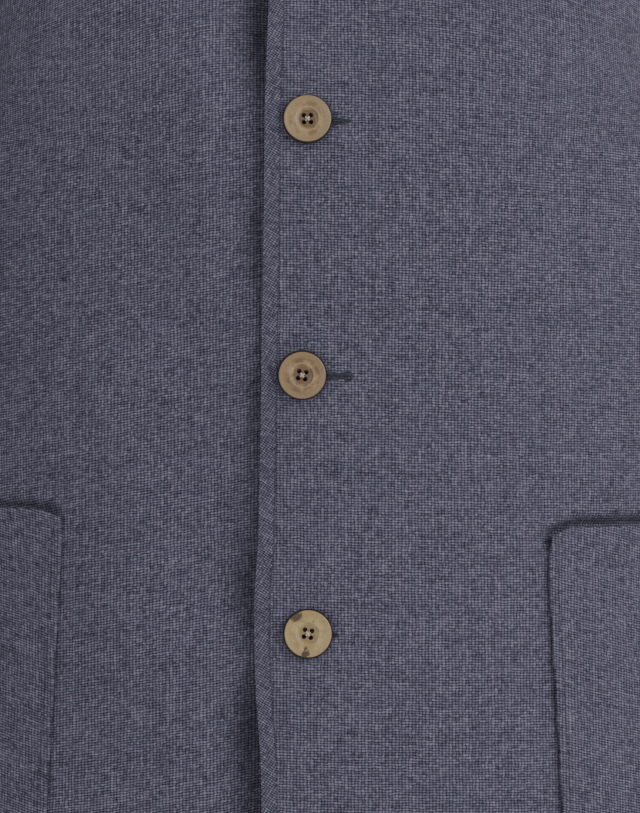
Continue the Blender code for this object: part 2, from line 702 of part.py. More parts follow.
def add_buttons(points):
    """Five buttons down the middle line, each square to the cloth that carries it."""
    mesh = button_mesh()
    radius = BUTTON_DIAMETER / 2
    for number, shift in enumerate(BUTTON_SHIFTS):
        height = TOP_BUTTON_Z - number * BUTTON_SPACING
        low = front_line_point(points, height - radius)
        high = front_line_point(points, height + radius)
        centre = front_line_point(points, height)
        along = unit(high - low)
        facing = np.array((0.0, -along[2], along[1]))
        bulge = max(0.0, float((centre - (low + high) / 2) @ facing))
        seat = (low + high) / 2 + (bulge + SEAM_GAP) * facing
        seat[0] += shift
        name = f"button_{number + 1}"
        thing = new_object(name, mesh.copy(), HORN_COLOURS[number], 0.35, sharp_angle=50)
        turned = Vector((0, 0, 1)).rotation_difference(Vector(facing))
        thing.matrix_world = Matrix.Translation(seat) @ turned.to_matrix().to_4x4()


def build():
    """Makes every piece of the jacket."""
    clear_scene()
    left, right = body_side("left"), body_side("right")
    front_piece("front_left", *left)
    front_piece("front_right", *right)
    back_piece(left, right)
    collar_piece(left, right)
    for side, (points, normals) in (("left", left), ("right", right)):
        pocket_piece(side, points, normals)
        if side == "right":
            points, normals = mirrored(points), mirrored(normals)
        grid, faces = sleeve_grid(points, normals)
        sleeve_pieces(side, grid, faces)
    add_buttons(left[0])


build()
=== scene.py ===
"""Looks of a closed-neck jacket with a band collar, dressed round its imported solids.

Metres, +Z up, the front faces -Y and the wearer's left is +X, as in the solids.
"""

import logging
import math
from collections.abc import Iterable, Sequence
from dataclasses import dataclass, field
from enum import Enum
from typing import NamedTuple

import bmesh
import bpy
import numpy as np
from mathutils import Matrix, Vector


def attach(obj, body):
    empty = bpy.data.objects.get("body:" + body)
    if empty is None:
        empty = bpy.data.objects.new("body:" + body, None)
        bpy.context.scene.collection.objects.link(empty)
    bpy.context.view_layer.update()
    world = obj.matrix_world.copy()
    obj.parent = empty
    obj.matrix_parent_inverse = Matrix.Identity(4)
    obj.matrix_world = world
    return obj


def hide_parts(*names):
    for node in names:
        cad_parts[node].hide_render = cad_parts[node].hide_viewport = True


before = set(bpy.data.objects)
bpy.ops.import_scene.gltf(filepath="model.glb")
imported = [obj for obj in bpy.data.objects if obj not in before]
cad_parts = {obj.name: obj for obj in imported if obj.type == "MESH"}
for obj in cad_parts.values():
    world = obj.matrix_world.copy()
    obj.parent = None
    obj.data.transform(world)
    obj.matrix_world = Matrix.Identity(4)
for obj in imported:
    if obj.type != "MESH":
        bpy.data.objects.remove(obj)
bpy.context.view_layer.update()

LOG = logging.getLogger("jacket")
Grid = np.ndarray
Material = bpy.types.Material
Piece = bpy.types.Object
Colour = tuple[float, float, float]
DOUBLES = 1e-6
LOOK_AHEAD = 0.0005
NO_EDGE = 1.0


class Side(Enum):
    """A side of the wearer. The left front lies over the right one."""

    LEFT = "left"
    RIGHT = "right"


class Face(Enum):
    """Which face of the body a crease lies on, as its direction along Y."""

    FRONT = -1.0
    BACK = 1.0


class Section(NamedTuple):
    """A section of one half of the body, as the solids have it."""

    name: str
    steps: int
    in_x: float
    in_y: float
    in_z: float
    out_x: float
    out_y: float
    out_z: float
    swing: float
    fall: float
    lead: float
    full: float


class EdgePoint(NamedTuple):
    """How far past the middle the over front's edge runs at a height."""

    z: float
    past: float


class Hollow(NamedTuple):
    """How deep and how wide the under front falls away beside the over front's edge."""

    z: float
    depth: float
    reach: float


class Crease(NamedTuple):
    """A soft trough, or a ridge where the height is above zero, along a path across X and Z."""

    name: str
    face: Face
    path: tuple[tuple[float, float], ...]
    width: float
    height: float


class Ring(NamedTuple):
    """A section of a sleeve below the armhole: its middle, half width and half depth."""

    name: str
    steps: int
    x: float
    y: float
    z: float
    width: float
    depth: float


class SleeveCrease(NamedTuple):
    """A crease of a sleeve: how far down and round it lies, its reach, slant and height."""

    name: str
    down: float
    round: float
    reach_down: float
    reach_round: float
    slant: float
    height: float


SECTIONS = (
    Section("front hem", 2, 0.0, -0.1365, -0.700, 0.200, 0.034, -0.697, 104, 0.0, 0.0, 0.60),
    Section("pocket foot", 3, 0.0, -0.1350, -0.626, 0.198, 0.034, -0.624, 104, 0.0, 0.0, 0.60),
    Section("front hip", 3, 0.0, -0.1315, -0.540, 0.191, 0.033, -0.538, 103, 0.0, 0.0, 0.60),
    Section("pocket mouth", 2, 0.0, -0.1260, -0.411, 0.179, 0.028, -0.411, 102, 0.0, 0.0, 0.60),
    Section("front waist", 2, 0.0, -0.1290, -0.335, 0.183, 0.020, -0.330, 98, 0.0, 0.0, 0.61),
    Section("front underarm", 2, 0.0, -0.1335, -0.262, 0.188, 0.012, -0.238, 92, 0.0, 0.0, 0.62),
    Section("low pitch", 2, 0.0, -0.1255, -0.208, 0.170, -0.038, -0.205, 62, 0.0, 0.0, 0.58),
    Section("front pitch", 2, 0.0, -0.1080, -0.155, 0.162, -0.050, -0.160, 42, -0.05, 0.0, 0.52),
    Section("throat", 2, 0.0, -0.0750, -0.092, 0.166, -0.046, -0.118, 28, -0.15, 0.0, 0.46),
    Section("neck side", 2, 0.046, -0.058, -0.074, 0.182, -0.030, -0.083, 15, -0.25, 0.6, 0.38),
    Section("neck high", 2, 0.0685, -0.030, -0.034, 0.203, -0.009, -0.058, 6, -0.30, 0.9, 0.36),
    Section("shoulder", 2, 0.0755, 0.006, -0.002, 0.220, 0.012, -0.048, 0, -0.33, 1.0, 0.36),
    Section("nape high", 2, 0.069, 0.036, 0.002, 0.209, 0.034, -0.060, -7, -0.30, 0.9, 0.36),
    Section("nape side", 2, 0.043, 0.056, 0.001, 0.195, 0.050, -0.084, -17, -0.25, 0.6, 0.38),
    Section("nape", 2, 0.0, 0.0640, 0.000, 0.184, 0.060, -0.114, -28, -0.15, 0.0, 0.46),
    Section("yoke", 2, 0.0, 0.0900, -0.060, 0.177, 0.062, -0.150, -42, -0.05, 0.0, 0.52),
    Section("blade", 2, 0.0, 0.1120, -0.130, 0.176, 0.050, -0.200, -64, 0.0, 0.0, 0.58),
    Section("back underarm", 2, 0.0, 0.1210, -0.215, 0.188, 0.012, -0.238, -88, 0.0, 0.0, 0.62),
    Section("back waist", 2, 0.0, 0.1130, -0.325, 0.183, 0.020, -0.330, -82, 0.0, 0.0, 0.61),
    Section("small of back", 3, 0.0, 0.1000, -0.411, 0.179, 0.028, -0.411, -78, 0.0, 0.0, 0.60),
    Section("seat", 3, 0.0, 0.1190, -0.540, 0.191, 0.033, -0.538, -77, 0.0, 0.0, 0.60),
    Section("back foot", 2, 0.0, 0.1250, -0.626, 0.198, 0.034, -0.624, -76, 0.0, 0.0, 0.60),
    Section("back hem", 0, 0.0, 0.1280, -0.700, 0.200, 0.034, -0.697, -76, 0.0, 0.0, 0.60),
)
SECTION_AT = {section.name: place for place, section in enumerate(SECTIONS)}
THROAT, NAPE = SECTION_AT["throat"], SECTION_AT["nape"]
SIDE_CORNERS = (0, SECTION_AT["front underarm"], SECTION_AT["back underarm"], len(SECTIONS) - 1)

COLUMN_SHARES = (
    0.0, 0.112, 0.223, 0.333, 0.370, 0.435, 0.535, 0.634, 0.733, 0.833, 0.898, 0.933, 1.0
)

FRONT_EDGE = (
    EdgePoint(-0.700, 0.0176),
    EdgePoint(-0.600, 0.0186),
    EdgePoint(-0.5145, 0.0192),
    EdgePoint(-0.4760, 0.0216),
    EdgePoint(-0.4430, 0.0221),
    EdgePoint(-0.4180, 0.0204),
    EdgePoint(-0.3490, 0.0192),
    EdgePoint(-0.3045, 0.0183),
    EdgePoint(-0.2345, 0.0175),
    EdgePoint(-0.1930, 0.0163),
    EdgePoint(-0.0920, 0.0160),
)

EDGE_HOLLOWS = (
    Hollow(-0.7000, 0.0040, 0.026),
    Hollow(-0.6200, 0.0060, 0.028),
    Hollow(-0.5645, 0.0040, 0.022),
    Hollow(-0.5150, 0.0125, 0.024),
    Hollow(-0.4850, 0.0105, 0.019),
    Hollow(-0.4690, 0.0012, 0.010),
    Hollow(-0.4560, 0.0040, 0.024),
    Hollow(-0.4350, 0.0100, 0.046),
    Hollow(-0.4120, 0.0040, 0.050),
    Hollow(-0.3850, 0.0045, 0.016),
    Hollow(-0.3600, 0.0045, 0.010),
    Hollow(-0.3280, 0.0008, 0.010),
    Hollow(-0.2960, 0.0058, 0.026),
    Hollow(-0.2700, 0.0032, 0.024),
    Hollow(-0.2450, 0.0032, 0.020),
    Hollow(-0.2240, 0.0056, 0.020),
    Hollow(-0.2050, 0.0120, 0.021),
    Hollow(-0.1345, 0.0040, 0.024),
    Hollow(-0.0920, 0.0006, 0.014),
)

BODY_CREASES = (
    Crease("long hollow", Face.FRONT, ((-0.086, -0.215), (-0.050, -0.385)), 0.024, -0.0030),
    Crease("chest roll", Face.FRONT, ((-0.046, -0.215), (-0.028, -0.330)), 0.016, 0.0012),
    Crease("pocket pull", Face.FRONT, ((-0.080, -0.500), (-0.035, -0.600)), 0.022, -0.0018),
    Crease("hip drag", Face.FRONT, ((0.045, -0.420), (0.085, -0.330)), 0.024, -0.0012),
    Crease("front flare", Face.FRONT, ((0.060, -0.560), (0.075, -0.690)), 0.026, 0.0020),
    Crease("blade hollow left", Face.BACK, ((0.115, -0.190), (0.070, -0.330)), 0.026, -0.0048),
    Crease("blade hollow right", Face.BACK, ((-0.120, -0.180), (-0.062, -0.310)), 0.024, -0.0042),
    Crease("waist ridge left", Face.BACK, ((0.095, -0.360), (0.060, -0.440)), 0.018, 0.0038),
    Crease("waist ridge right", Face.BACK, ((-0.088, -0.375), (-0.050, -0.450)), 0.018, 0.0042),
    Crease("skirt flare left", Face.BACK, ((0.082, -0.520), (0.092, -0.690)), 0.028, 0.0054),
    Crease("waist drag left", Face.BACK, ((0.150, -0.285), (0.085, -0.330)), 0.014, -0.0042),
    Crease("waist drag right", Face.BACK, ((-0.148, -0.300), (-0.080, -0.352)), 0.015, -0.0045),
    Crease("small hollow", Face.BACK, ((-0.045, -0.385), (0.050, -0.372)), 0.017, -0.0035),
    Crease("small ridge", Face.BACK, ((-0.060, -0.425), (0.035, -0.412)), 0.015, 0.0029),
    Crease("armhole drag left", Face.BACK, ((0.150, -0.130), (0.128, -0.215)), 0.014, -0.0035),
    Crease("armhole drag right", Face.BACK, ((-0.150, -0.125), (-0.130, -0.205)), 0.014, -0.0032),
    Crease("skirt flare right", Face.BACK, ((-0.070, -0.540), (-0.086, -0.690)), 0.026, 0.0048),
)

MOUTH_CREASES = (
    Crease(
        "above left mouth", Face.FRONT,
        ((0.105, -0.4163), (0.111, -0.4139), (0.119, -0.4128), (0.165, -0.4124)), 0.0028, -0.0052,
    ),
    Crease(
        "above right mouth", Face.FRONT,
        ((-0.108, -0.4070), (-0.115, -0.4052), (-0.165, -0.4046)), 0.0024, -0.0028,
    ),
)

SLEEVE_RINGS = (
    Ring("biceps", 3, 0.2510, 0.012, -0.246, 0.0525, 0.0640),
    Ring("elbow", 3, 0.2830, 0.020, -0.405, 0.0500, 0.0575),
    Ring("forearm", 3, 0.2980, -0.004, -0.530, 0.0450, 0.0525),
    Ring("cuff", 0, 0.3070, -0.046, -0.655, 0.0400, 0.0490),
)

SLEEVE_CREASES = (
    SleeveCrease("elbow front low", 0.56, 0.22, 0.045, 0.16, 0.0, -0.0063),
    SleeveCrease("elbow front high", 0.44, 0.27, 0.040, 0.14, 0.0, -0.0049),
    SleeveCrease("elbow front ridge", 0.50, 0.25, 0.035, 0.15, 0.0, 0.0042),
    SleeveCrease("elbow back", 0.52, 0.76, 0.080, 0.12, 0.0, 0.0035),
    SleeveCrease("wrist break", 0.84, 0.20, 0.050, 0.18, 0.0, -0.0035),
    SleeveCrease("elbow side hollow", 0.53, 0.50, 0.028, 0.13, 0.10, -0.0039),
    SleeveCrease("elbow side ridge", 0.59, 0.48, 0.028, 0.14, 0.10, 0.0034),
    SleeveCrease("upper drag", 0.36, 0.42, 0.026, 0.16, -0.14, -0.0031),
    SleeveCrease("forearm hollow", 0.68, 0.62, 0.030, 0.15, 0.12, -0.0034),
    SleeveCrease("back elbow hollow", 0.47, 0.68, 0.024, 0.10, -0.08, -0.0034),
    SleeveCrease("cuff ridge", 0.90, 0.45, 0.030, 0.16, 0.06, 0.0025),
)


def unit(vectors: Grid) -> Grid:
    """The same directions, one unit long."""
    size = np.linalg.norm(vectors, axis=-1, keepdims=True)
    return vectors / np.maximum(size, 1e-12)


def smooth_step(share: Grid) -> Grid:
    """Turns 0 to 1 smoothly as share does, and stays at either end."""
    share = np.clip(share, 0.0, 1.0)
    return share * share * (3.0 - 2.0 * share)


def between(first: Grid, second: Grid, share: float | Grid) -> Grid:
    """What lies a share of the way from the first to the second."""
    return (1 - share) * first + share * second


def through(knots: Sequence, position: float) -> Grid:
    """The smooth curve through knots.

    Args:
        knots: Rows of numbers that the curve passes through.
        position: A place counted in knots from the first.

    Returns:
        The row of numbers at that place.
    """
    knots = np.asarray(knots, float)
    last = len(knots) - 1
    start = min(int(position), last - 1)
    share = position - start
    here, there = knots[start], knots[start + 1]
    before = knots[start - 1] if start > 0 else 2 * here - there
    after = knots[start + 2] if start + 2 <= last else 2 * there - here
    return hermite(share, (here, there), ((there - before) / 2, (after - here) / 2))


def by_height(rows: Sequence[Sequence[float]], height: float) -> Grid:
    """The smooth curve through rows that start with a height, read at another height.

    Args:
        rows: Rows of numbers, lowest first, each with its height before them.
        height: Where to read them.

    Returns:
        The row of numbers at that height.
    """
    heights = [row[0] for row in rows]
    place = float(np.interp(height, heights, np.arange(len(heights))))
    return through([row[1:] for row in rows], place)


def hermite(share: float, ends: Sequence[Grid], ways: Sequence[Grid]) -> Grid:
    """A point on the smooth curve between two ends.

    Args:
        share: How far along it, from 0 to 1.
        ends: Where it starts and stops.
        ways: How it leaves and arrives.

    Returns:
        The point there.
    """
    square, cube = share**2, share**3
    return (
        (2 * cube - 3 * square + 1) * ends[0]
        + (cube - 2 * square + share) * ways[0]
        + (3 * square - 2 * cube) * ends[1]
        + (cube - square) * ways[1]
    )


def distances_along(line: Grid) -> Grid:
    """How far each point of a line lies from its first, along it."""
    steps = np.linalg.norm(np.diff(line, axis=0), axis=-1)
    return np.concatenate([np.zeros((1, *steps.shape[1:])), np.cumsum(steps, axis=0)])


def at_distance(line: Grid, distances: Grid, wanted: Grid) -> Grid:
    """Points of a line at the wanted distances along it."""
    return np.stack([np.interp(wanted, distances, line[:, axis]) for axis in range(3)], axis=1)


def grid_normals(points: Grid) -> Grid:
    """Which way the cloth faces at each point of a grid of the left side."""
    return unit(np.cross(np.gradient(points, axis=1), np.gradient(points, axis=0)))


def mirrored(points: Grid) -> Grid:
    """The same points on the other side of the middle."""
    return points * np.array((-1.0, 1.0, 1.0))


def softened(line: Grid, reach: float) -> Grid:
    """A line with its corners softened.

    Args:
        line: Points along a line.
        reach: How far along it the softening reaches. The ends stay as they are.

    Returns:
        The softened points.
    """
    along = distances_along(line)
    weights = np.exp(-(((along[:, None] - along[None, :]) / reach) ** 2)) * np.gradient(along)
    soft = weights @ line / weights.sum(axis=1, keepdims=True)
    from_end = np.minimum(along, along[-1] - along)
    share = smooth_step(from_end / (2 * reach))[:, None]
    return between(line, soft, share)


def along_path(plan: Grid, path: Sequence[tuple[float, float]]) -> Grid:
    """How far each point of a plan lies from a path.

    Args:
        plan: Points as pairs of numbers.
        path: The corners of the path, as pairs of numbers.

    Returns:
        The distance of each point from the nearest place on the path.
    """
    nearest = np.full(plan.shape[:-1], np.inf)
    for start, end in zip(path, path[1:]):
        start, run = np.array(start), np.array(end) - np.array(start)
        share = np.clip((plan - start) @ run / (run @ run), 0.0, 1.0)
        away = np.linalg.norm(plan - start - share[..., None] * run, axis=-1)
        nearest = np.minimum(nearest, away)
    return nearest


@dataclass
class Sheet:
    """A grid of cloth.

    points are on its outer face, facing is the way out there, flat is the place on the flat
    cloth along the weft and the warp, and edge is the distance from its stitched edge, which
    is NO_EDGE where none is near.
    """

    points: Grid
    facing: Grid
    flat: Grid
    edge: Grid

    def part(self, rows: slice | Sequence[int], columns: slice | Sequence[int]) -> "Sheet":
        """The sheet's named rows and columns."""
        grids = (self.points, self.facing, self.flat, self.edge)
        return Sheet(*(grid[rows][:, columns].copy() for grid in grids))

    def mirrored(self) -> "Sheet":
        """The sheet on the other side of the middle."""
        return Sheet(mirrored(self.points), mirrored(self.facing), self.flat, self.edge)

    def pull_back(self, edge: int, axis: int, by: float) -> None:
        """Moves one edge into the cloth.

        Args:
            edge: 0 for the first row or column, -1 for the last.
            axis: 0 for rows, 1 for columns.
            by: How far, in metres.
        """
        grid = self.points if axis == 0 else self.points.swapaxes(0, 1)
        inside = 1 if edge == 0 else -2
        grid[edge] += by * unit(grid[inside] - grid[edge])

    def open_neck(self, rows: range, corner: int, inside: int, column: int, by: float) -> None:
        """Moves the neckline into the cloth.

        Args:
            rows: The rows that start at the neckline.
            corner: The row on the neckline's part that crosses the middle.
            inside: The next row into the cloth.
            column: The neckline's column.
            by: How far, in metres.
        """
        points = self.points
        for row in rows:
            points[row, column] += by * unit(points[row, column + 1] - points[row, column])
        way = unit(points[inside, : column + 1] - points[corner, : column + 1])
        points[corner, : column + 1] += by * way


@dataclass
class BodyForm:
    """The form of the fronts and the back, with row_detail by column_detail points a cell.

    Closer rows cross the pockets' mouths, and others lie opposite them on the back: their
    count and spacing, in sections, are rows_below and rows_above. The under front sinks by
    under_depth from under_reach on, and fades over under_fade. A hollow beside the edge
    spreads over spread times its reach, at least least_reach, and falls off by fall_off.
    Creases fade out over the last fade_cells before the side seam.
    """

    row_detail: int = 6
    column_detail: int = 6
    overlap: float = 0.0175
    under_depth: float = 0.0029
    under_reach: float = 0.0225
    under_fade: float = 0.060
    spread: float = 1.25
    least_reach: float = 0.006
    fall_off: float = 1.5
    fade_cells: int = 3
    rows_below: tuple[int, float] = (5, 0.0093)
    rows_above: tuple[int, float] = (13, 0.0158)
    curve_points: int = 601
    positions: Grid = field(init=False)
    shares: Grid = field(init=False)

    def __post_init__(self) -> None:
        """Places the rows and the columns."""
        found = [0.0]
        for place, section in enumerate(SECTIONS[:-1]):
            count = section.steps * self.row_detail
            found += [place + (step + 1) / count for step in range(count)]
        mouth = SECTION_AT["pocket mouth"]
        (below, step_down), (above, step_up) = self.rows_below, self.rows_above
        close = [mouth - step_down * step for step in range(1, below + 1)]
        close += [mouth + step_up * step for step in range(1, above + 1)]
        close += [len(SECTIONS) - 1 - place for place in close]
        self.positions = np.unique(np.round(found + close, 5))
        knots = np.arange(len(COLUMN_SHARES))
        fine = np.arange((len(COLUMN_SHARES) - 1) * self.column_detail + 1) / self.column_detail
        self.shares = np.interp(fine, knots, COLUMN_SHARES)

    @property
    def middle(self) -> int:
        """The column on the middle line."""
        return self.column_detail

    @property
    def inner(self) -> int:
        """The column where the neckline starts."""
        return 2 * self.column_detail

    @property
    def outer(self) -> int:
        """The column on the side seam or the armhole."""
        return self.inner + len(self.shares) - 1

    def column(self, number: int) -> int:
        """The column that the solids' column of this number has here."""
        return number * self.column_detail

    def row(self, name: str) -> int:
        """The row on a named section."""
        return int(np.argmin(abs(self.positions - SECTION_AT[name])))

    def stretch(self, names: Sequence[str], position: float, corners: Sequence[int]) -> Grid:
        """Values of the sections between two corners, on a smooth curve.

        Args:
            names: The section values to read.
            position: The place, counted in sections.
            corners: Sections at which the smooth curve breaks.

        Returns:
            The values at that place.
        """
        first, last = corners[-2], corners[-1]
        for low, high in zip(corners, corners[1:]):
            if position <= high:
                first, last = low, high
                break
        sections = SECTIONS[first : last + 1]
        rows = [[getattr(section, name) for name in names] for section in sections]
        return through(rows, position - first)

    def section_curve(self, position: float, inner: Grid) -> tuple[Grid, Grid]:
        """A section's cloth from its inner point to the seam.

        Args:
            position: The place, counted in sections.
            inner: The point on the middle line or the neckline.

        Returns:
            Close points along the section, and their distances along it.
        """
        outer = self.stretch(("out_x", "out_y", "out_z"), position, SIDE_CORNERS)
        swing, fall, lead, full = self.stretch(
            ("swing", "fall", "lead", "full"), position, SIDE_CORNERS
        )
        swing = math.radians(swing)
        across, deep = abs(outer[0] - inner[0]), abs(outer[1] - inner[1])
        start = unit(between(np.array((1.0, 0.0, 0.0)), unit(outer - inner), lead))
        end = unit(np.array((math.cos(swing), math.sin(swing), fall)))
        reach = full * (across * abs(math.cos(swing)) + deep * abs(math.sin(swing)))
        second, third = inner + full * across * start, outer - reach * end
        share = np.linspace(0.0, 1.0, self.curve_points)[:, None]
        rest = 1 - share
        line = rest**3 * inner + 3 * rest**2 * share * second + 3 * rest * share**2 * third
        line = line + share**3 * outer
        return line, distances_along(line)

    def middle_section(self, position: float, side: Side) -> Grid:
        """A section that crosses the middle line.

        Args:
            position: The place, counted in sections.
            side: The side of the wearer, whose front's edge it starts from.

        Returns:
            Its points, from the front's edge to the seam.
        """
        corners = (0, THROAT) if position <= THROAT else (NAPE, len(SECTIONS) - 1)
        start = self.stretch(("in_x", "in_y", "in_z"), position, corners)
        line, distances = self.section_curve(position, start)
        past = self.overlap
        if side is Side.LEFT:
            past = by_height(FRONT_EDGE, line[0, 2])[0]
        edge, inner = np.interp((past, self.overlap), line[:, 0], distances)
        detail = self.column_detail
        wanted = np.concatenate([
            np.linspace(edge, 0.0, detail + 1)[:-1],
            np.linspace(0.0, inner, detail + 1)[:-1],
            inner + (distances[-1] - inner) * self.shares,
        ])
        points = at_distance(line, distances, wanted)
        points[:detail, 0] *= -1
        return points

    def neck_section(self, position: float, neckline: Sequence) -> Grid:
        """A section that starts at the neckline, where its first columns all lie.

        Args:
            position: The place, counted in sections.
            neckline: The neckline's points, one for each section from the throat on.

        Returns:
            Its points, from the neckline to the armhole.
        """
        line, distances = self.section_curve(position, through(neckline, position - THROAT))
        points = at_distance(line, distances, distances[-1] * self.shares)
        return np.concatenate([np.repeat(points[:1], self.inner, axis=0), points])

    def half(self, side: Side) -> Grid:
        """One half of the body, set on +X and without creases.

        Args:
            side: The side of the wearer.

        Returns:
            Its points, a row for each place along the body.
        """
        throat, nape = self.middle_section(THROAT, side), self.middle_section(NAPE, side)
        sides = [[s.in_x, s.in_y, s.in_z] for s in SECTIONS[THROAT + 1 : NAPE]]
        neckline = [throat[self.inner], *sides, nape[self.inner]]
        rows = []
        for position in self.positions:
            if THROAT < position < NAPE:
                rows.append(self.neck_section(position, neckline))
            else:
                rows.append(self.middle_section(position, side))
        return np.array(rows)

    def normals(self, points: Grid) -> Grid:
        """Which way one half faces, the same on both sides of the side seam.

        Args:
            points: The half, set on +X.

        Returns:
            The way out of the cloth at each point.
        """
        normals = grid_normals(points)
        throat, nape = self.row("throat"), self.row("nape")
        normals[throat, : self.inner] = grid_normals(points[: throat + 1])[-1, : self.inner]
        normals[nape, : self.inner] = grid_normals(points[nape:])[0, : self.inner]
        last = len(points) - 1
        for row in range(self.row("front underarm") + 1):
            both = unit(normals[row, self.outer] + normals[last - row, self.outer])
            normals[row, self.outer] = normals[last - row, self.outer] = both
        normals[nape:, self.middle, 0] = 0.0
        return unit(normals)

    def crease_height(self, points: Grid, normals: Grid, creases: Iterable[Crease]) -> Grid:
        """How far creases move each point along its normal.

        Args:
            points: One half of the body, in place.
            normals: The way out of the cloth at each point.
            creases: The creases. They fade out towards the side seam.

        Returns:
            The height at each point.
        """
        total = np.zeros(points.shape[:2])
        plan = points[..., [0, 2]]
        for crease in creases:
            away = along_path(plan, crease.path)
            shown = smooth_step(normals[..., 1] * crease.face.value * 2)
            total += crease.height * np.exp(-((away / crease.width) ** 2)) * shown
        reach = self.fade_cells * self.column_detail
        return total * smooth_step((self.outer - np.arange(points.shape[1])) / reach)

    def sink(self, points: Grid) -> Grid:
        """How far below the over front the under front lies.

        Args:
            points: The under front's side of the body.

        Returns:
            The depth at each point.
        """
        front = np.arange(len(points)) <= self.row("shoulder")
        past = (-self.under_reach - points[..., 0]) / self.under_fade
        depth = self.under_depth * (1 - smooth_step(past))
        throat = self.row("throat")
        for row in range(throat + 1):
            height = points[row, self.middle, 2]
            edge = by_height(FRONT_EDGE, height)[0]
            extra, reach = by_height(EDGE_HOLLOWS, height)
            far = max(self.spread * reach, self.least_reach)
            away = np.clip((-edge - points[row, :, 0]) / far, 0.0, 1.0)
            depth[row] += max(extra, 0.0) * (1 - away) ** self.fall_off
        return depth * front[:, None]

    def flat_place(self, points: Grid, side: Side) -> Grid:
        """Where each point lies on the flat cloth.

        Args:
            points: One half of the body, set on +X.
            side: The side of the wearer.

        Returns:
            How far each point lies across from the middle and up the warp.
        """
        across = distances_along(points.swapaxes(0, 1)).T
        across = across - across[:, self.middle : self.middle + 1]
        neck = slice(self.row("throat") + 1, self.row("nape"))
        across[neck] += abs(points[neck, self.inner, 0])[:, None]
        up = distances_along(points)
        shoulder = self.row("shoulder")
        front, back = self.row("front hip"), self.row("seat")
        height = up - up[front] + SECTIONS[SECTION_AT["front hip"]].in_z
        fall = -(up - up[back]) + SECTIONS[SECTION_AT["seat"]].in_z
        height[shoulder + 1 :] = fall[shoulder + 1 :]
        across = across if side is Side.LEFT else -across
        return np.stack([across, height], axis=-1)

    def sheet(self, side: Side, creases: Iterable[Crease]) -> Sheet:
        """The whole of one side, in place, the under front sunk below the over front.

        Args:
            side: The side of the wearer.
            creases: The creases that it has.

        Returns:
            The side's cloth, from the front's hem over the shoulder to the back's hem.
        """
        half = self.half(side)
        normals = self.normals(half)
        flat = self.flat_place(half, side)
        edge = distances_along(half.swapaxes(0, 1)).T
        if side is Side.RIGHT:
            half, normals = mirrored(half), mirrored(normals)
        half = half + self.crease_height(half, normals, creases)[..., None] * normals
        if side is Side.RIGHT:
            half = half - self.sink(half)[..., None] * normals
            return Sheet(half, mirrored(self.normals(mirrored(half))), flat, edge)
        return Sheet(half, self.normals(half), flat, edge)


class Value:
    """A shader socket that takes part in sums as a number does."""

    def __init__(self, shader: "Shader", socket: bpy.types.NodeSocket) -> None:
        """Wraps a socket of the shader's nodes."""
        self.shader = shader
        self.socket = socket

    def math(self, operation: str, *others: "float | Value") -> "Value":
        """A Math node with this value first."""
        return self.shader.math(operation, self, *others)

    def __add__(self, other: "float | Value") -> "Value":
        """This value and another."""
        return self.math("ADD", other)

    __radd__ = __add__

    def __sub__(self, other: "float | Value") -> "Value":
        """This value less another."""
        return self.math("SUBTRACT", other)

    def __rsub__(self, other: "float | Value") -> "Value":
        """Another value less this one."""
        return self.shader.math("SUBTRACT", other, self)

    def __mul__(self, other: "float | Value") -> "Value":
        """This value times another."""
        return self.math("MULTIPLY", other)

    __rmul__ = __mul__

    def __truediv__(self, other: "float | Value") -> "Value":
        """This value divided by another."""
        return self.math("DIVIDE", other)

    def __abs__(self) -> "Value":
        """This value without its sign."""
        return self.math("ABSOLUTE")

    def clamped(self) -> "Value":
        """This value, held between 0 and 1."""
        return self.math("MINIMUM", 1.0).math("MAXIMUM", 0.0)

    def ramp(self, low: float, high: float) -> "Value":
        """0 below low and 1 above high, smoothly; high may be the smaller."""
        share = ((self - low) / (high - low)).clamped()
        return share * share * (3.0 - 2.0 * share)


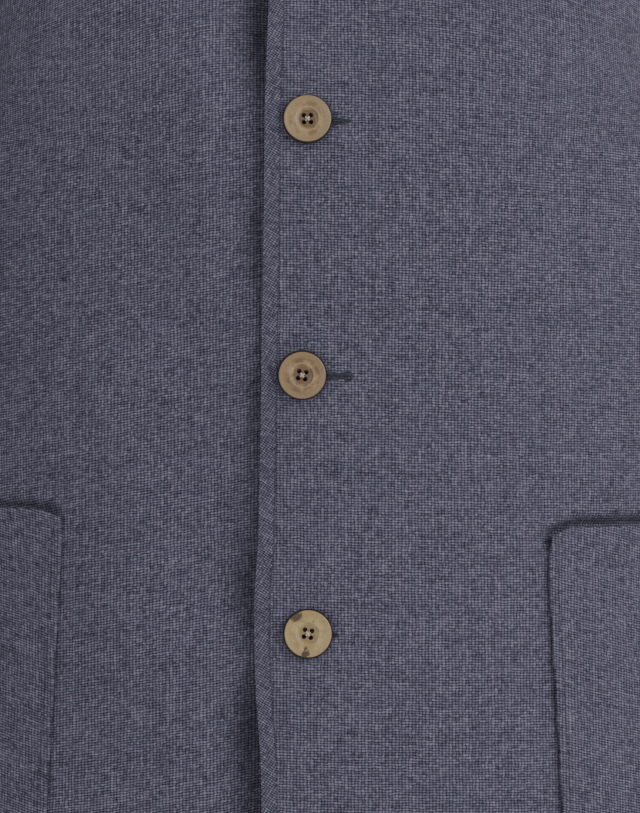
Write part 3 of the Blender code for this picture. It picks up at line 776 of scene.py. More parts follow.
class Shader:
    """The nodes of one material."""

    def __init__(self, name: str) -> None:
        """Makes a material with a Principled shader.

        Args:
            name: The material's name.
        """
        self.material = bpy.data.materials.new(name)
        self.material.use_nodes = True
        self.tree = self.material.node_tree
        self.surface = self.tree.nodes["Principled BSDF"]

    def set(self, socket: bpy.types.NodeSocket, value: object) -> None:
        """Links a value to a socket, or sets a plain number or colour on it.

        Args:
            socket: The socket to feed.
            value: What feeds it.
        """
        if isinstance(value, Value):
            self.tree.links.new(value.socket, socket)
        elif isinstance(value, bpy.types.NodeSocket):
            self.tree.links.new(value, socket)
        elif isinstance(value, tuple) and len(value) == 3 and socket.type == "RGBA":
            socket.default_value = (*value, 1.0)
        else:
            socket.default_value = value

    def node(
        self, kind: str, settings: dict[str, object] | None = None,
        inputs: dict[str | int, object] | None = None,
    ) -> bpy.types.Node:
        """Adds a node.

        Args:
            kind: The node's type, without its ShaderNode prefix.
            settings: Its own settings, which are set first.
            inputs: Values or links of its sockets, by name or number.

        Returns:
            The node.
        """
        made = self.tree.nodes.new("ShaderNode" + kind)
        for name, value in (settings or {}).items():
            setattr(made, name, value)
        for name, value in (inputs or {}).items():
            self.set(made.inputs[name], value)
        return made

    def value(
        self, kind: str, output: str | int = 0, settings: dict[str, object] | None = None,
        inputs: dict[str | int, object] | None = None,
    ) -> Value:
        """Adds a node and wraps one of its outputs."""
        return Value(self, self.node(kind, settings, inputs).outputs[output])

    def math(self, operation: str, *values: float | Value) -> Value:
        """Adds a Math node."""
        inputs = dict(enumerate(values))
        return self.value("Math", 0, {"operation": operation}, inputs)

    def vector(self, x: float | Value, y: float | Value, z: float | Value = 0.0) -> Value:
        """A vector of three values."""
        return self.value("CombineXYZ", 0, None, {0: x, 1: y, 2: z})

    def noise(
        self, place: Value, scale: float = 1.0, detail: float = 2.0, roughness: float = 0.5
    ) -> Value:
        """Soft noise about 0.5 at a place."""
        inputs = {"Vector": place, "Scale": scale, "Detail": detail, "Roughness": roughness}
        return self.value("TexNoise", 0, {"noise_dimensions": "3D"}, inputs)

    def speck(self, seed: Value) -> Value:
        """A number from 0 to 1 that differs for each whole seed."""
        return self.value("TexWhiteNoise", 0, {"noise_dimensions": "1D"}, {"W": seed})

    def mix(self, share: float | Value, first: object, second: object) -> Value:
        """A colour between two others.

        Args:
            share: How much of the second there is.
            first: The colour at 0.
            second: The colour at 1.

        Returns:
            The mixed colour.
        """
        made = self.node("Mix", {"data_type": "RGBA"})
        self.set(made.inputs[0], share)
        self.set(made.inputs[6], first)
        self.set(made.inputs[7], second)
        return Value(self, made.outputs[2])

    def flat_place(self) -> tuple[Value, Value]:
        """Where the surface lies on the flat piece, from its own map.

        Returns:
            The places along the map's two directions, in metres.
        """
        place = self.node("UVMap", {"uv_map": "flat"})
        parts = self.node("SeparateXYZ", None, {0: place.outputs[0]})
        return Value(self, parts.outputs[0]), Value(self, parts.outputs[1])

    def relief(self, height: Value, depth: float, strength: float = 1.0) -> None:
        """Raises the surface by a height.

        Args:
            height: How high it is at each place.
            depth: How far a height of 1 raises it, in metres.
            strength: How much of that shows.
        """
        bump = self.node(
            "Bump", None, {"Height": height, "Distance": depth, "Strength": strength}
        )
        self.set(self.surface.inputs["Normal"], bump.outputs[0])

    def dress(self, sockets: dict[str, object]) -> Material:
        """Sets or links sockets of the surface.

        Args:
            sockets: Values or links, by the socket's name.

        Returns:
            The finished material.
        """
        for name, value in sockets.items():
            self.set(self.surface.inputs[name], value)
        return self.material


@dataclass(frozen=True)
class WovenCloth:
    """A hopsack of uneven, slubbed threads over dark gaps.

    pitch_across and pitch_down are the threads' spacings, slope is how far the weft climbs
    across the piece, strip is how wide the turned edge is and strip_slope how far the weft
    climbs in it. strays are where the noises lie that move the threads, with their scale and
    reach: the warp's and the weft's long waves, then their short ones. A thread's tone has a
    share of its own, and short and slubs are the scale and weight of its changes along it.
    bases, weights, crossing and fuzz say how light the warp, the weft, their crossings and the
    finest hairs are. groove is the half width of the stitched line beside the turned edge, and
    relief is how far a thread stands proud.
    """

    name: str
    slope: float = 0.0
    strip: float = 0.0
    strip_slope: float = 0.0
    pitch_across: float = 0.00142
    pitch_down: float = 0.00109
    thread: Colour = (0.134, 0.120, 0.173)
    cool: Colour = (0.124, 0.123, 0.173)
    gap: Colour = (0.006, 0.006, 0.014)
    slub: Colour = (0.275, 0.250, 0.310)
    roughness: float = 0.9
    strays: tuple[tuple[float, float, float], ...] = (
        (0.0, 85.0, 0.0011), (3.7, 75.0, 0.0011), (1.9, 430.0, 0.0010), (8.3, 410.0, 0.0009)
    )
    own: float = 0.10
    short: tuple[float, float] = (520.0, 1.00)
    slubs: tuple[float, float] = (130.0, 0.75)
    bases: tuple[float, float] = (0.86, 1.00)
    weights: tuple[float, float] = (0.45, 0.53)
    crossing: float = 0.22
    fuzz: float = 0.38
    cool_from: tuple[float, float] = (0.36, 0.64)
    yarn_from: tuple[float, float] = (0.12, 0.88)
    slub_from: tuple[float, float] = (0.72, 1.12)
    slub_share: float = 0.75
    groove: float = 0.0008
    groove_shade: float = 0.36
    groove_depth: float = 1.1
    relief: float = 0.00018

    def tone_along(self, shader: Shader, number: Value, along: Value, seed: float) -> Value:
        """How light a thread is along its length.

        Args:
            shader: The material's nodes.
            number: The thread's number.
            along: The place along the thread, in metres.
            seed: Sets the two directions of thread apart.

        Returns:
            A tone about 0.
        """
        own = shader.speck(number + seed)
        row = own * 91.0 + seed
        (short_scale, short_weight), (slub_scale, slub_weight) = self.short, self.slubs
        short = shader.noise(shader.vector(row, along * short_scale), 1.0, 2.0, 0.6)
        slub = shader.noise(shader.vector(row + 7.3, along * slub_scale), 1.0, 1.0)
        tone = (own - 0.5) * self.own + (short - 0.5) * short_weight
        return tone + (slub - 0.5) * slub_weight

    def material(self) -> Material:
        """Makes the finish.

        Returns:
            The material, on the piece's flat map and its distance from the edge.
        """
        shader = Shader(self.name)
        across, up = shader.flat_place()
        wander, drift, jitter, sway = (
            (shader.noise(shader.vector(across, up, seed), scale) - 0.5) * reach
            for seed, scale, reach in self.strays
        )
        slope, lean = self.slope, 0.0
        edge = shader.value("Attribute", "Fac", {"attribute_name": "edge"})
        if self.strip_slope:
            turned = edge.math("LESS_THAN", self.strip)
            slope = turned * (self.strip_slope - self.slope) + self.slope
            lean = turned * self.strip_slope
        warp_place = across + up * lean + wander + jitter
        weft_place = up - across * slope + drift + sway
        warp, weft = warp_place / self.pitch_across, weft_place / self.pitch_down
        warp_number, weft_number = warp.math("FLOOR"), weft.math("FLOOR")
        warp_off, weft_off = warp - warp_number - 0.5, weft - weft_number - 0.5
        warp_round = 1.0 - warp_off * warp_off * 4.0
        weft_round = 1.0 - weft_off * weft_off * 4.0
        warp_tone = self.tone_along(shader, warp_number, weft_place, 3.1)
        weft_tone = self.tone_along(shader, weft_number, warp_place, 57.7)
        fuzz = shader.noise(shader.vector(across, up, 5.9), 1150.0, 2.0, 0.6) - 0.5
        crossing = shader.speck(warp_number * 1009.0 + weft_number) - 0.5
        warp_share = warp_round * (self.bases[0] + warp_tone)
        weft_share = weft_round * (self.bases[1] + weft_tone)
        both = warp_share * self.weights[0] + weft_share * self.weights[1]
        both = both + crossing * self.crossing + fuzz * self.fuzz
        patch = shader.noise(shader.vector(across, up, 9.1), 120.0, 3.0, 0.6)
        yarn = shader.mix(patch.ramp(*self.cool_from), self.thread, self.cool)
        colour = shader.mix(both.ramp(*self.yarn_from), self.gap, yarn)
        colour = shader.mix(both.ramp(*self.slub_from) * self.slub_share, colour, self.slub)
        height = both
        if self.strip:
            groove = 1.0 - (abs(edge - self.strip) / self.groove).clamped()
            groove = groove * groove
            colour = shader.mix(groove * self.groove_shade, colour, self.gap)
            height = height - groove * self.groove_depth
        shader.relief(height, self.relief, 0.8)
        return shader.dress({
            "Base Color": colour, "Roughness": self.roughness, "Sheen Weight": 0.06,
            "Sheen Roughness": 0.5, "Specular IOR Level": 0.2,
        })


@dataclass(frozen=True)
class Horn:
    """Polished horn of one button: its face, its darker well and rim and its marks.

    burns are dark marks, each at a place on the button with its radius, in metres. The well
    ends at the lip, whose lighter ring is a painted highlight on the raised ridge, and the face
    at the rim, which turns into the dark edge: partly the horn's own darker edge, partly painted
    shade for the shadow round the button. A pair that ends in from is where a colour starts to
    come in and where it is full, and a number that ends in share is how much of it there is at
    most. fray is how far the marks and the grain pull a burn's outline about.
    """

    name: str
    face: Colour
    streak: Colour
    rim: Colour
    well: Colour
    seed: float
    marks: float = 0.3
    burns: tuple[tuple[float, float, float], ...] = ()
    # Near black: the horn's own dark marks and edge, and painted shade for the shadow ring round
    # the button.
    edge: Colour = (0.024, 0.015, 0.010)
    # Lighter ring on the raised lip: a painted highlight where the ridge catches the light.
    ring: Colour = (0.46, 0.35, 0.22)
    rim_from: tuple[float, float] = (0.0066, 0.0082)
    well_from: tuple[float, float] = (0.0042, 0.0035)
    lip: tuple[float, float] = (0.0050, 0.0007)
    # From here outwards the button is painted near black, as shade round its edge.
    edge_shade_from: tuple[float, float] = (0.0096, 0.0099)
    streak_from: tuple[float, float] = (0.42, 0.62)
    grain_from: tuple[float, float] = (0.42, 0.72)
    mark_from: tuple[float, float] = (0.58, 0.68)
    grain_share: float = 0.45
    well_share: float = 0.9
    lip_share: float = 0.45
    burn_share: float = 0.85
    burn_core: float = 0.45
    fray: tuple[float, float] = (0.004, 0.002)

    def material(self) -> Material:
        """Makes the finish.

        Returns:
            The material, on the button's flat map.
        """
        shader = Shader(self.name)
        across, up = shader.flat_place()
        place = shader.vector(across, up, self.seed)
        reach = (across * across + up * up).math("SQRT")
        cloud = shader.noise(place, 190.0, 4.0, 0.6)
        grain = shader.noise(
            shader.vector(across * 900.0, up * 260.0, self.seed), 1.0, 4.0, 0.6
        )
        colour = shader.mix(cloud.ramp(*self.streak_from), self.face, self.streak)
        colour = shader.mix(grain.ramp(*self.grain_from) * self.grain_share, colour, self.well)
        colour = shader.mix(reach.ramp(*self.rim_from), colour, self.rim)
        colour = shader.mix(reach.ramp(*self.well_from) * self.well_share, colour, self.well)
        # Painted highlight: a lighter ring along the raised lip.
        lip = 1.0 - (abs(reach - self.lip[0]) / self.lip[1]).clamped()
        colour = shader.mix(lip * self.lip_share, colour, self.ring)
        mark = shader.noise(place, 420.0, 5.0, 0.7)
        colour = shader.mix(mark.ramp(*self.mark_from) * self.marks, colour, self.edge)
        fray = (mark - 0.5) * self.fray[0] + (grain - 0.5) * self.fray[1]
        for x, y, size in self.burns:
            off_x, off_y = across - x, up - y
            away = (off_x * off_x + off_y * off_y).math("SQRT") + fray
            burnt = away.ramp(size, size * self.burn_core) * self.burn_share
            colour = shader.mix(burnt, colour, self.edge)
        # Painted shade: the outer rim and side turn near black, standing for the shadow round the
        # button as well as the horn's darker edge.
        colour = shader.mix(reach.ramp(*self.edge_shade_from), colour, self.edge)
        shader.relief(grain, 0.00004, 0.5)
        rough = 0.30 + grain * 0.16
        return shader.dress({
            "Base Color": colour, "Roughness": rough, "Coat Weight": 0.25, "Coat Roughness": 0.15,
        })


@dataclass(frozen=True)
class Thread:
    """Sewing thread with a fine twist and an uneven tone."""

    name: str
    light: Colour
    dark: Colour
    roughness: float = 0.7

    def material(self) -> Material:
        """Makes the finish.

        Returns:
            The material, on the piece's own place.
        """
        shader = Shader(self.name)
        place = shader.node("TexCoord").outputs["Object"]
        fibre = shader.value(
            "TexNoise", 0, None, {"Vector": place, "Scale": 2600.0, "Detail": 3.0}
        )
        tone = shader.value("TexNoise", 0, None, {"Vector": place, "Scale": 620.0, "Detail": 1.0})
        both = fibre * 0.45 + tone * 0.55
        colour = shader.mix(both.ramp(0.38, 0.62), self.dark, self.light)
        shader.relief(fibre, 0.00006, 0.6)
        return shader.dress({
            "Base Color": colour, "Roughness": self.roughness, "Sheen Weight": 0.2,
        })


@dataclass(frozen=True)
class PlainFloor:
    """A matt pale floor with the faintest grain."""

    name: str = "pale_floor"

    def material(self) -> Material:
        """Makes the finish.

        Returns:
            The material, on the piece's own place.
        """
        shader = Shader(self.name)
        place = shader.node("TexCoord").outputs["Object"]
        grain = shader.value("TexNoise", 0, None, {"Vector": place, "Scale": 40.0})
        colour = shader.mix(grain, (0.76, 0.76, 0.75), (0.80, 0.80, 0.79))
        return shader.dress({"Base Color": colour, "Roughness": 0.9})


def mesh_of(work: bmesh.types.BMesh, name: str) -> bpy.types.Mesh:
    """Turns a mesh being made into a finished one.

    Args:
        work: The mesh being made, which is freed.
        name: The finished mesh's name.

    Returns:
        The finished mesh.
    """
    mesh = bpy.data.meshes.new(name)
    work.to_mesh(mesh)
    work.free()
    return mesh


def finished_object(name: str, mesh: bpy.types.Mesh, material: Material) -> Piece:
    """Puts a mesh in the scene as a piece that rides on the body.

    Args:
        name: The piece's name.
        mesh: Its mesh, in place.
        material: Its finish.

    Returns:
        The piece.
    """
    piece = bpy.data.objects.new(name, mesh)
    piece.data.materials.append(material)
    bpy.context.scene.collection.objects.link(piece)
    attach(piece, "root")
    return piece


@dataclass
class ClothPiece:
    """One cut piece of cloth: a closed wall with a rounded rim.

    rim is the width of its rounding, missing are the faces of each grid that aren't cloth.
    """

    name: str
    sheets: list[Sheet]
    material: Material
    wall: float = 0.002
    rim: float = 0.0008
    rim_segments: int = 3
    rim_angle: float = math.radians(55)
    missing: set[tuple[int, int]] = field(default_factory=set)

    def add_sheet(self, work: bmesh.types.BMesh, order: object, sheet: Sheet, first: int) -> None:
        """Adds one grid of faces, each vertex marked with its place in the list.

        Args:
            work: The mesh being made.
            order: Its layer of places.
            sheet: The cloth.
            first: The place of the grid's first vertex.
        """
        rows, columns = sheet.points.shape[:2]
        made = bmesh.ops.create_grid(
            work, x_segments=columns - 1, y_segments=rows - 1, size=1.0
        )["verts"]
        for vertex in made:
            column = round((vertex.co.x + 1) / 2 * (columns - 1))
            row = round((vertex.co.y + 1) / 2 * (rows - 1))
            vertex[order] = first + row * columns + column
            vertex.co = sheet.points[row, column]

    def cut_missing(self, work: bmesh.types.BMesh, order: object) -> None:
        """Takes away the faces that aren't cloth.

        Args:
            work: The mesh being made.
            order: Its layer of places.
        """
        rows, columns = self.sheets[0].points.shape[:2]
        empty = []
        for face in work.faces:
            lowest = min(vertex[order] % (rows * columns) for vertex in face.verts)
            if divmod(lowest, columns) in self.missing:
                empty.append(face)
        bmesh.ops.delete(work, geom=empty, context="FACES")
        loose = [vertex for vertex in work.verts if not vertex.link_faces]
        bmesh.ops.delete(work, geom=loose, context="VERTS")

    def build(self) -> Piece:
        """Makes the piece.

        Returns:
            The piece, with its flat map and its distance from the edge.
        """
        work = bmesh.new()
        order = work.verts.layers.int.new("place")
        first = 0
        for sheet in self.sheets:
            self.add_sheet(work, order, sheet, first)
            first += sheet.edge.size
        if self.missing:
            self.cut_missing(work, order)
        bmesh.ops.remove_doubles(work, verts=work.verts[:], dist=DOUBLES)
        inner = np.concatenate(
            [(s.points - self.wall * s.facing).reshape(-1, 3) for s in self.sheets]
        )
        flat = np.concatenate([sheet.flat.reshape(-1, 2) for sheet in self.sheets])
        edge = np.concatenate([sheet.edge.reshape(-1) for sheet in self.sheets])
        grown = bmesh.ops.extrude_face_region(work, geom=work.faces[:], use_keep_orig=True)
        for part in grown["geom"]:
            if isinstance(part, bmesh.types.BMVert):
                part.co = inner[part[order]]
        bmesh.ops.recalc_face_normals(work, faces=work.faces[:])
        places = work.loops.layers.uv.new("flat")
        far = work.verts.layers.float.new("edge")
        for vertex in work.verts:
            vertex[far] = edge[vertex[order]]
            for loop in vertex.link_loops:
                loop[places].uv = flat[vertex[order]]
        work.verts.layers.int.remove(order)
        mesh = mesh_of(work, self.name)
        mesh.shade_smooth()
        piece = finished_object(self.name, mesh, self.material)
        rim = piece.modifiers.new("rounded rim", "BEVEL")
        rim.width = self.rim
        rim.segments = self.rim_segments
        rim.limit_method = "ANGLE"
        rim.angle_limit = self.rim_angle
        rim.harden_normals = True
        return piece


@dataclass(frozen=True)
class Cut:
    """The cut of a cloth piece, laid flat: its width, its length and its area."""

    width: float
    length: float
    area: float


def declare_cloth(node: str, cut: Cut) -> None:
    """Hides the solid that a cloth piece stands for.

    Args:
        node: The solid's node.
        cut: The piece's cut. Not used.
    """
    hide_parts(node)


@dataclass
class StitchRun:
    """A run of small stitches along a line on the cloth, a pitch apart and a little sunk in."""

    name: str
    pitch: float = 0.0030
    length: float = 0.0020
    thickness: float = 0.00040
    sunk: float = 0.00006
    sides: int = 7
    rings: int = 5
    work: bmesh.types.BMesh = field(default_factory=bmesh.new)

    def add_stitch(self, middle: Grid, run: Grid, out: Grid, length: float, width: float) -> None:
        """Adds one stitch.

        Args:
            middle: Where its middle lies.
            run: The way that it runs.
            out: The way out of the cloth.
            length: How long it is.
            width: How wide it is.
        """
        run = Vector(run).normalized()
        out = Vector(out)
        out = (out - run * out.dot(run)).normalized()
        side = out.cross(run)
        turned = Matrix((run * length / 2, side * width / 2, out * width / 2)).transposed()
        place = Matrix.Translation(Vector(middle)) @ turned.to_4x4()
        bmesh.ops.create_uvsphere(
            self.work, u_segments=self.sides, v_segments=self.rings, radius=1.0,
            matrix=place @ Matrix.Rotation(math.pi / 2, 4, "Y"),
        )

    def add_line(self, line: Grid, facing: Grid) -> None:
        """Sews along a line.

        Args:
            line: Points on the cloth.
            facing: The way out of the cloth at each.
        """
        distances = distances_along(line)
        count = int((distances[-1] - self.length) / self.pitch)
        spots = (distances[-1] - count * self.pitch) / 2 + np.arange(count + 1) * self.pitch
        middles = at_distance(line, distances, spots)
        ahead = at_distance(line, distances, spots + LOOK_AHEAD)
        out = unit(at_distance(facing, distances, spots))
        for middle, further, way in zip(middles, ahead, out):
            self.add_stitch(
                middle + (self.thickness / 2 - self.sunk) * way * 0.5, further - middle, way,
                self.length, self.thickness,
            )

    def build(self, material: Material) -> Piece:
        """Makes the run one piece.

        Args:
            material: The thread's finish.

        Returns:
            The piece.
        """
        bmesh.ops.recalc_face_normals(self.work, faces=self.work.faces[:])
        mesh = mesh_of(self.work, self.name)
        mesh.shade_smooth()
        return finished_object(self.name, mesh, material)


def inset_line(line: Grid, facing: Grid, inward: Grid, distance: float) -> Grid:
    """A line moved over the cloth.

    Args:
        line: Points on the cloth's edge.
        facing: The way out of the cloth at each.
        inward: Any direction into the cloth at each.
        distance: How far to move it.

    Returns:
        The moved points.
    """
    side = unit(np.cross(facing, unit(np.gradient(line, axis=0))))
    side = side * np.sign((side * inward).sum(axis=-1, keepdims=True))
    return line + distance * side


@dataclass
class Fronts:
    """The two fronts, the left one over the right."""

    form: BodyForm
    over: Sheet
    under: Sheet
    half_gap: float = 0.00015
    cut: Cut = Cut(0.335, 0.761, 0.190)

    def front(self, name: str, sheet: Sheet, material: Material) -> Piece:
        """Makes one front: from the hem to the shoulder, its neckline cut from the overlap up.

        Args:
            name: The piece's name, which is its solid's with a suffix.
            sheet: The whole side.
            material: Its finish.

        Returns:
            The piece.
        """
        form = self.form
        shoulder, throat = form.row("shoulder"), form.row("throat")
        sheet = sheet.part(slice(0, shoulder + 1), slice(None))
        sheet.pull_back(-1, 1, self.half_gap)
        sheet.pull_back(-1, 0, self.half_gap)
        rows, inner = range(throat + 1, shoulder + 1), form.inner
        sheet.open_neck(rows, throat, throat - 1, inner, self.half_gap)
        missing = {(row, column) for row in range(throat, shoulder) for column in range(inner)}
        piece = ClothPiece(f"{name}_cloth", [sheet], material, missing=missing).build()
        declare_cloth(name, self.cut)
        return piece

    def edge_stitches(self, strip: float, material: Material) -> Piece:
        """Sews the line of stitches that holds the over front's turned edge.

        Args:
            strip: How wide the turned edge is.
            material: The thread's finish.

        Returns:
            The stitches.
        """
        rows = slice(2, self.form.row("throat"))
        line, facing = self.over.points[rows, 0], self.over.facing[rows, 0]
        inward = self.over.points[rows, self.form.middle] - line
        run = StitchRun("front_edge_stitches")
        run.add_line(inset_line(line, facing, inward, strip), facing)
        return run.build(material)

    def at(self, x: float, z: float) -> tuple[Grid, Grid]:
        """A point on the over front, by its X and its height.

        Args:
            x: How far it lies to the left of the middle.
            z: Its height.

        Returns:
            The point and the way out there.
        """
        points, facing = self.over.points, self.over.facing
        heights = points[: self.form.row("throat") + 1, self.form.middle, 2]
        place = float(np.interp(z, heights, np.arange(len(heights))))
        row = min(int(place), len(heights) - 2)
        share = place - row
        columns = slice(0, self.form.outer)
        line = between(points[row, columns], points[row + 1, columns], share)
        face = between(facing[row, columns], facing[row + 1, columns], share)
        point = np.array([np.interp(x, line[:, 0], line[:, axis]) for axis in range(3)])
        out = np.array([np.interp(x, line[:, 0], face[:, axis]) for axis in range(3)])
        return point, unit(out)


@dataclass
class Back:
    """The back in one piece."""

    form: BodyForm
    left: Sheet
    right: Sheet
    half_gap: float = 0.00015
    cut: Cut = Cut(0.486, 0.800, 0.316)

    def build(self, material: Material) -> Piece:
        """Makes the back from both sides, joined at the middle.

        Args:
            material: Its finish.

        Returns:
            The piece.
        """
        form = self.form
        shoulder, nape = form.row("shoulder"), form.row("nape")
        corner, reach = nape - shoulder, form.inner - form.middle
        sheets = []
        for side in (self.left, self.right):
            sheet = side.part(slice(shoulder, None), slice(form.middle, None))
            sheet.pull_back(-1, 1, self.half_gap)
            sheet.pull_back(0, 0, self.half_gap)
            sheet.open_neck(range(corner), corner, corner + 1, reach, self.half_gap)
            sheet.edge[:] = NO_EDGE
            sheets.append(sheet)
        missing = {(row, column) for row in range(corner) for column in range(reach)}
        piece = ClothPiece("back_cloth", sheets, material, missing=missing).build()
        declare_cloth("back", self.cut)
        return piece


@dataclass
class Sleeve:
    """A two-piece sleeve set into its armhole.

    cap_steps are the places of the sections between the armhole and the first ring. The cap
    leaves the armhole and meets the ring by cap_start and cap_end of the way between them,
    at least cap_least. The under sleeve is under_columns cells wide on each side.
    """

    form: BodyForm
    body: Sheet
    side: Side
    detail: int = 6
    cap_steps: tuple[float, ...] = (0.0, 0.13, 0.30, 0.52, 0.76)
    cap_start: float = 0.55
    cap_end: float = 0.85
    cap_least: float = 0.045
    under_columns: int = 5
    half_gap: float = 0.00015
    top_cut: Cut = Cut(0.243, 0.641, 0.103)
    under_cut: Cut = Cut(0.259, 0.585, 0.0857)

    def axis(self) -> tuple[Grid, Grid]:
        """The rings below the armhole.

        Returns:
            Their middles and sizes, and the way the sleeve runs there.
        """
        knots = [[r.x, r.y, r.z, r.width, r.depth] for r in SLEEVE_RINGS]
        places = [0.0]
        for place, ring in enumerate(SLEEVE_RINGS[:-1]):
            count = ring.steps * self.detail
            places += [place + (step + 1) / count for step in range(count)]
        rings = np.array([through(knots, place) for place in places])
        return rings, unit(np.gradient(rings[:, :3], axis=0))

    def ring_points(self, ring: Grid, direction: Grid, angles: Grid) -> Grid:
        """Points round one ring.

        Args:
            ring: Its middle, half width and half depth.
            direction: The way the sleeve runs there.
            angles: Where they lie: 0 faces the body and a quarter turn faces forwards.

        Returns:
            The points.
        """
        inward = np.array((-1.0, 0.0, 0.0))
        inward = unit(inward - (inward @ direction) * direction)
        forward = np.cross(direction, inward)
        forward = forward if forward[1] < 0 else -forward
        turned = ring[3] * np.cos(angles)[:, None] * inward
        turned = turned + ring[4] * np.sin(angles)[:, None] * forward
        return ring[:3] + turned

    def armhole(self) -> tuple[Grid, Grid, Grid, Grid]:
        """The armhole from the armpit up its front.

        Returns:
            Its points, the way the cloth faces, the way out of the body, and where each point
            comes to lie round the sleeve.
        """
        points, normals, outer = self.body.points, self.body.facing, self.form.outer
        first, last = self.form.row("front underarm"), self.form.row("back underarm")
        edge, facing = points[first:last, outer], normals[first:last, outer]
        inside = points[first:last, outer - 1].copy()
        inside[0] = points[first - 1, outer]
        run = unit(np.roll(edge, -1, axis=0) - np.roll(edge, 1, axis=0))
        out = unit(np.cross(run, facing))
        out = out * np.sign((out * (edge - inside)).sum(axis=1))[:, None]
        tip = self.form.row("shoulder") - first
        along = distances_along(np.concatenate([edge, edge[:1]]))
        front = along[: tip + 1] / along[tip]
        back = 1 + (along[tip + 1 : -1] - along[tip]) / (along[-1] - along[tip])
        return edge, facing, out, math.pi * np.concatenate([front, back])

    def crease_height(self, down: Grid, turn: Grid) -> Grid:
        """How far the creases move the cloth.

        Args:
            down: How far down the sleeve each row lies, from 0 to 1.
            turn: How far round it each column lies, in turns.

        Returns:
            The height at each row and column.
        """
        total = np.zeros(np.broadcast(down, turn).shape)
        for crease in SLEEVE_CREASES:
            round_it = (turn - crease.round + 0.5) % 1.0 - 0.5
            down_it = down - crease.down - crease.slant * round_it
            far = (down_it / crease.reach_down) ** 2 + (round_it / crease.reach_round) ** 2
            total = total + crease.height * np.exp(-far)
        return total

    def sheet(self) -> Sheet:
        """The whole sleeve on +X.

        Returns:
            Its cloth, a row for each ring, the armhole's first.
        """
        edge, facing, out, angles = self.armhole()
        rings, directions = self.axis()
        biceps = self.ring_points(rings[0], directions[0], angles)
        far = np.linalg.norm(biceps - edge, axis=1, keepdims=True)
        leave = out * np.maximum(self.cap_start * far, self.cap_least)
        arrive = directions[0] * np.maximum(self.cap_end * far, self.cap_least)
        knots = (*self.cap_steps, 1.0)
        count = (len(knots) - 1) * self.detail
        shares = np.interp(np.arange(count) / self.detail, np.arange(len(knots)), knots)
        rows = []
        for share in shares:
            rows.append(hermite(share, (edge, biceps), (leave, arrive)))
        rows += [self.ring_points(ring, way, angles) for ring, way in zip(rings, directions)]
        grid = np.array(rows)
        closed = np.concatenate([grid[:, -1:], grid, grid[:, :1]], axis=1)
        faces = grid_normals(closed)[:, 1:-1]
        faces = faces * np.sign((faces[-1] * (grid[-1] - rings[-1, :3])).sum())
        faces[0] = facing
        steps = len(self.cap_steps) + sum(ring.steps for ring in SLEEVE_RINGS)
        down = np.arange(len(grid))[:, None] / (steps * self.detail)
        lift = self.crease_height(down, angles[None, :] / (2 * math.pi))
        grid = grid + lift[..., None] * faces
        grid[0] = edge + self.half_gap * out
        round_it = distances_along(grid.swapaxes(0, 1)).T
        round_it = round_it - round_it[:, grid.shape[1] // 2 : grid.shape[1] // 2 + 1]
        flat = np.stack([round_it, -distances_along(grid)], axis=-1)
        return Sheet(grid, faces, flat, np.full(grid.shape[:2], NO_EDGE))

    def build(self, material: Material) -> list[Piece]:
        """Makes the top sleeve and the under sleeve, parted along their two seams.

        Args:
            material: Their finish.

        Returns:
            The pieces.
        """
        whole = self.sheet()
        if self.side is Side.RIGHT:
            whole = whole.mirrored()
        count = whole.points.shape[1]
        reach = self.under_columns * self.form.row_detail
        under = [column % count for column in range(-reach, reach + 1)]
        top = list(range(reach, count - reach + 1))
        pieces = []
        for name, columns, cut in (
            ("top_sleeve", top, self.top_cut), ("under_sleeve", under, self.under_cut)
        ):
            sheet = whole.part(slice(None), columns)
            sheet.flat[..., 0] = distances_along(sheet.points.swapaxes(0, 1)).T
            sheet.pull_back(0, 1, self.half_gap)
            sheet.pull_back(-1, 1, self.half_gap)
            node = f"{name}_{self.side.value}"
            piece = ClothPiece(f"{node}_cloth", [sheet], material).build()
            declare_cloth(node, cut)
            pieces.append(piece)
        return pieces


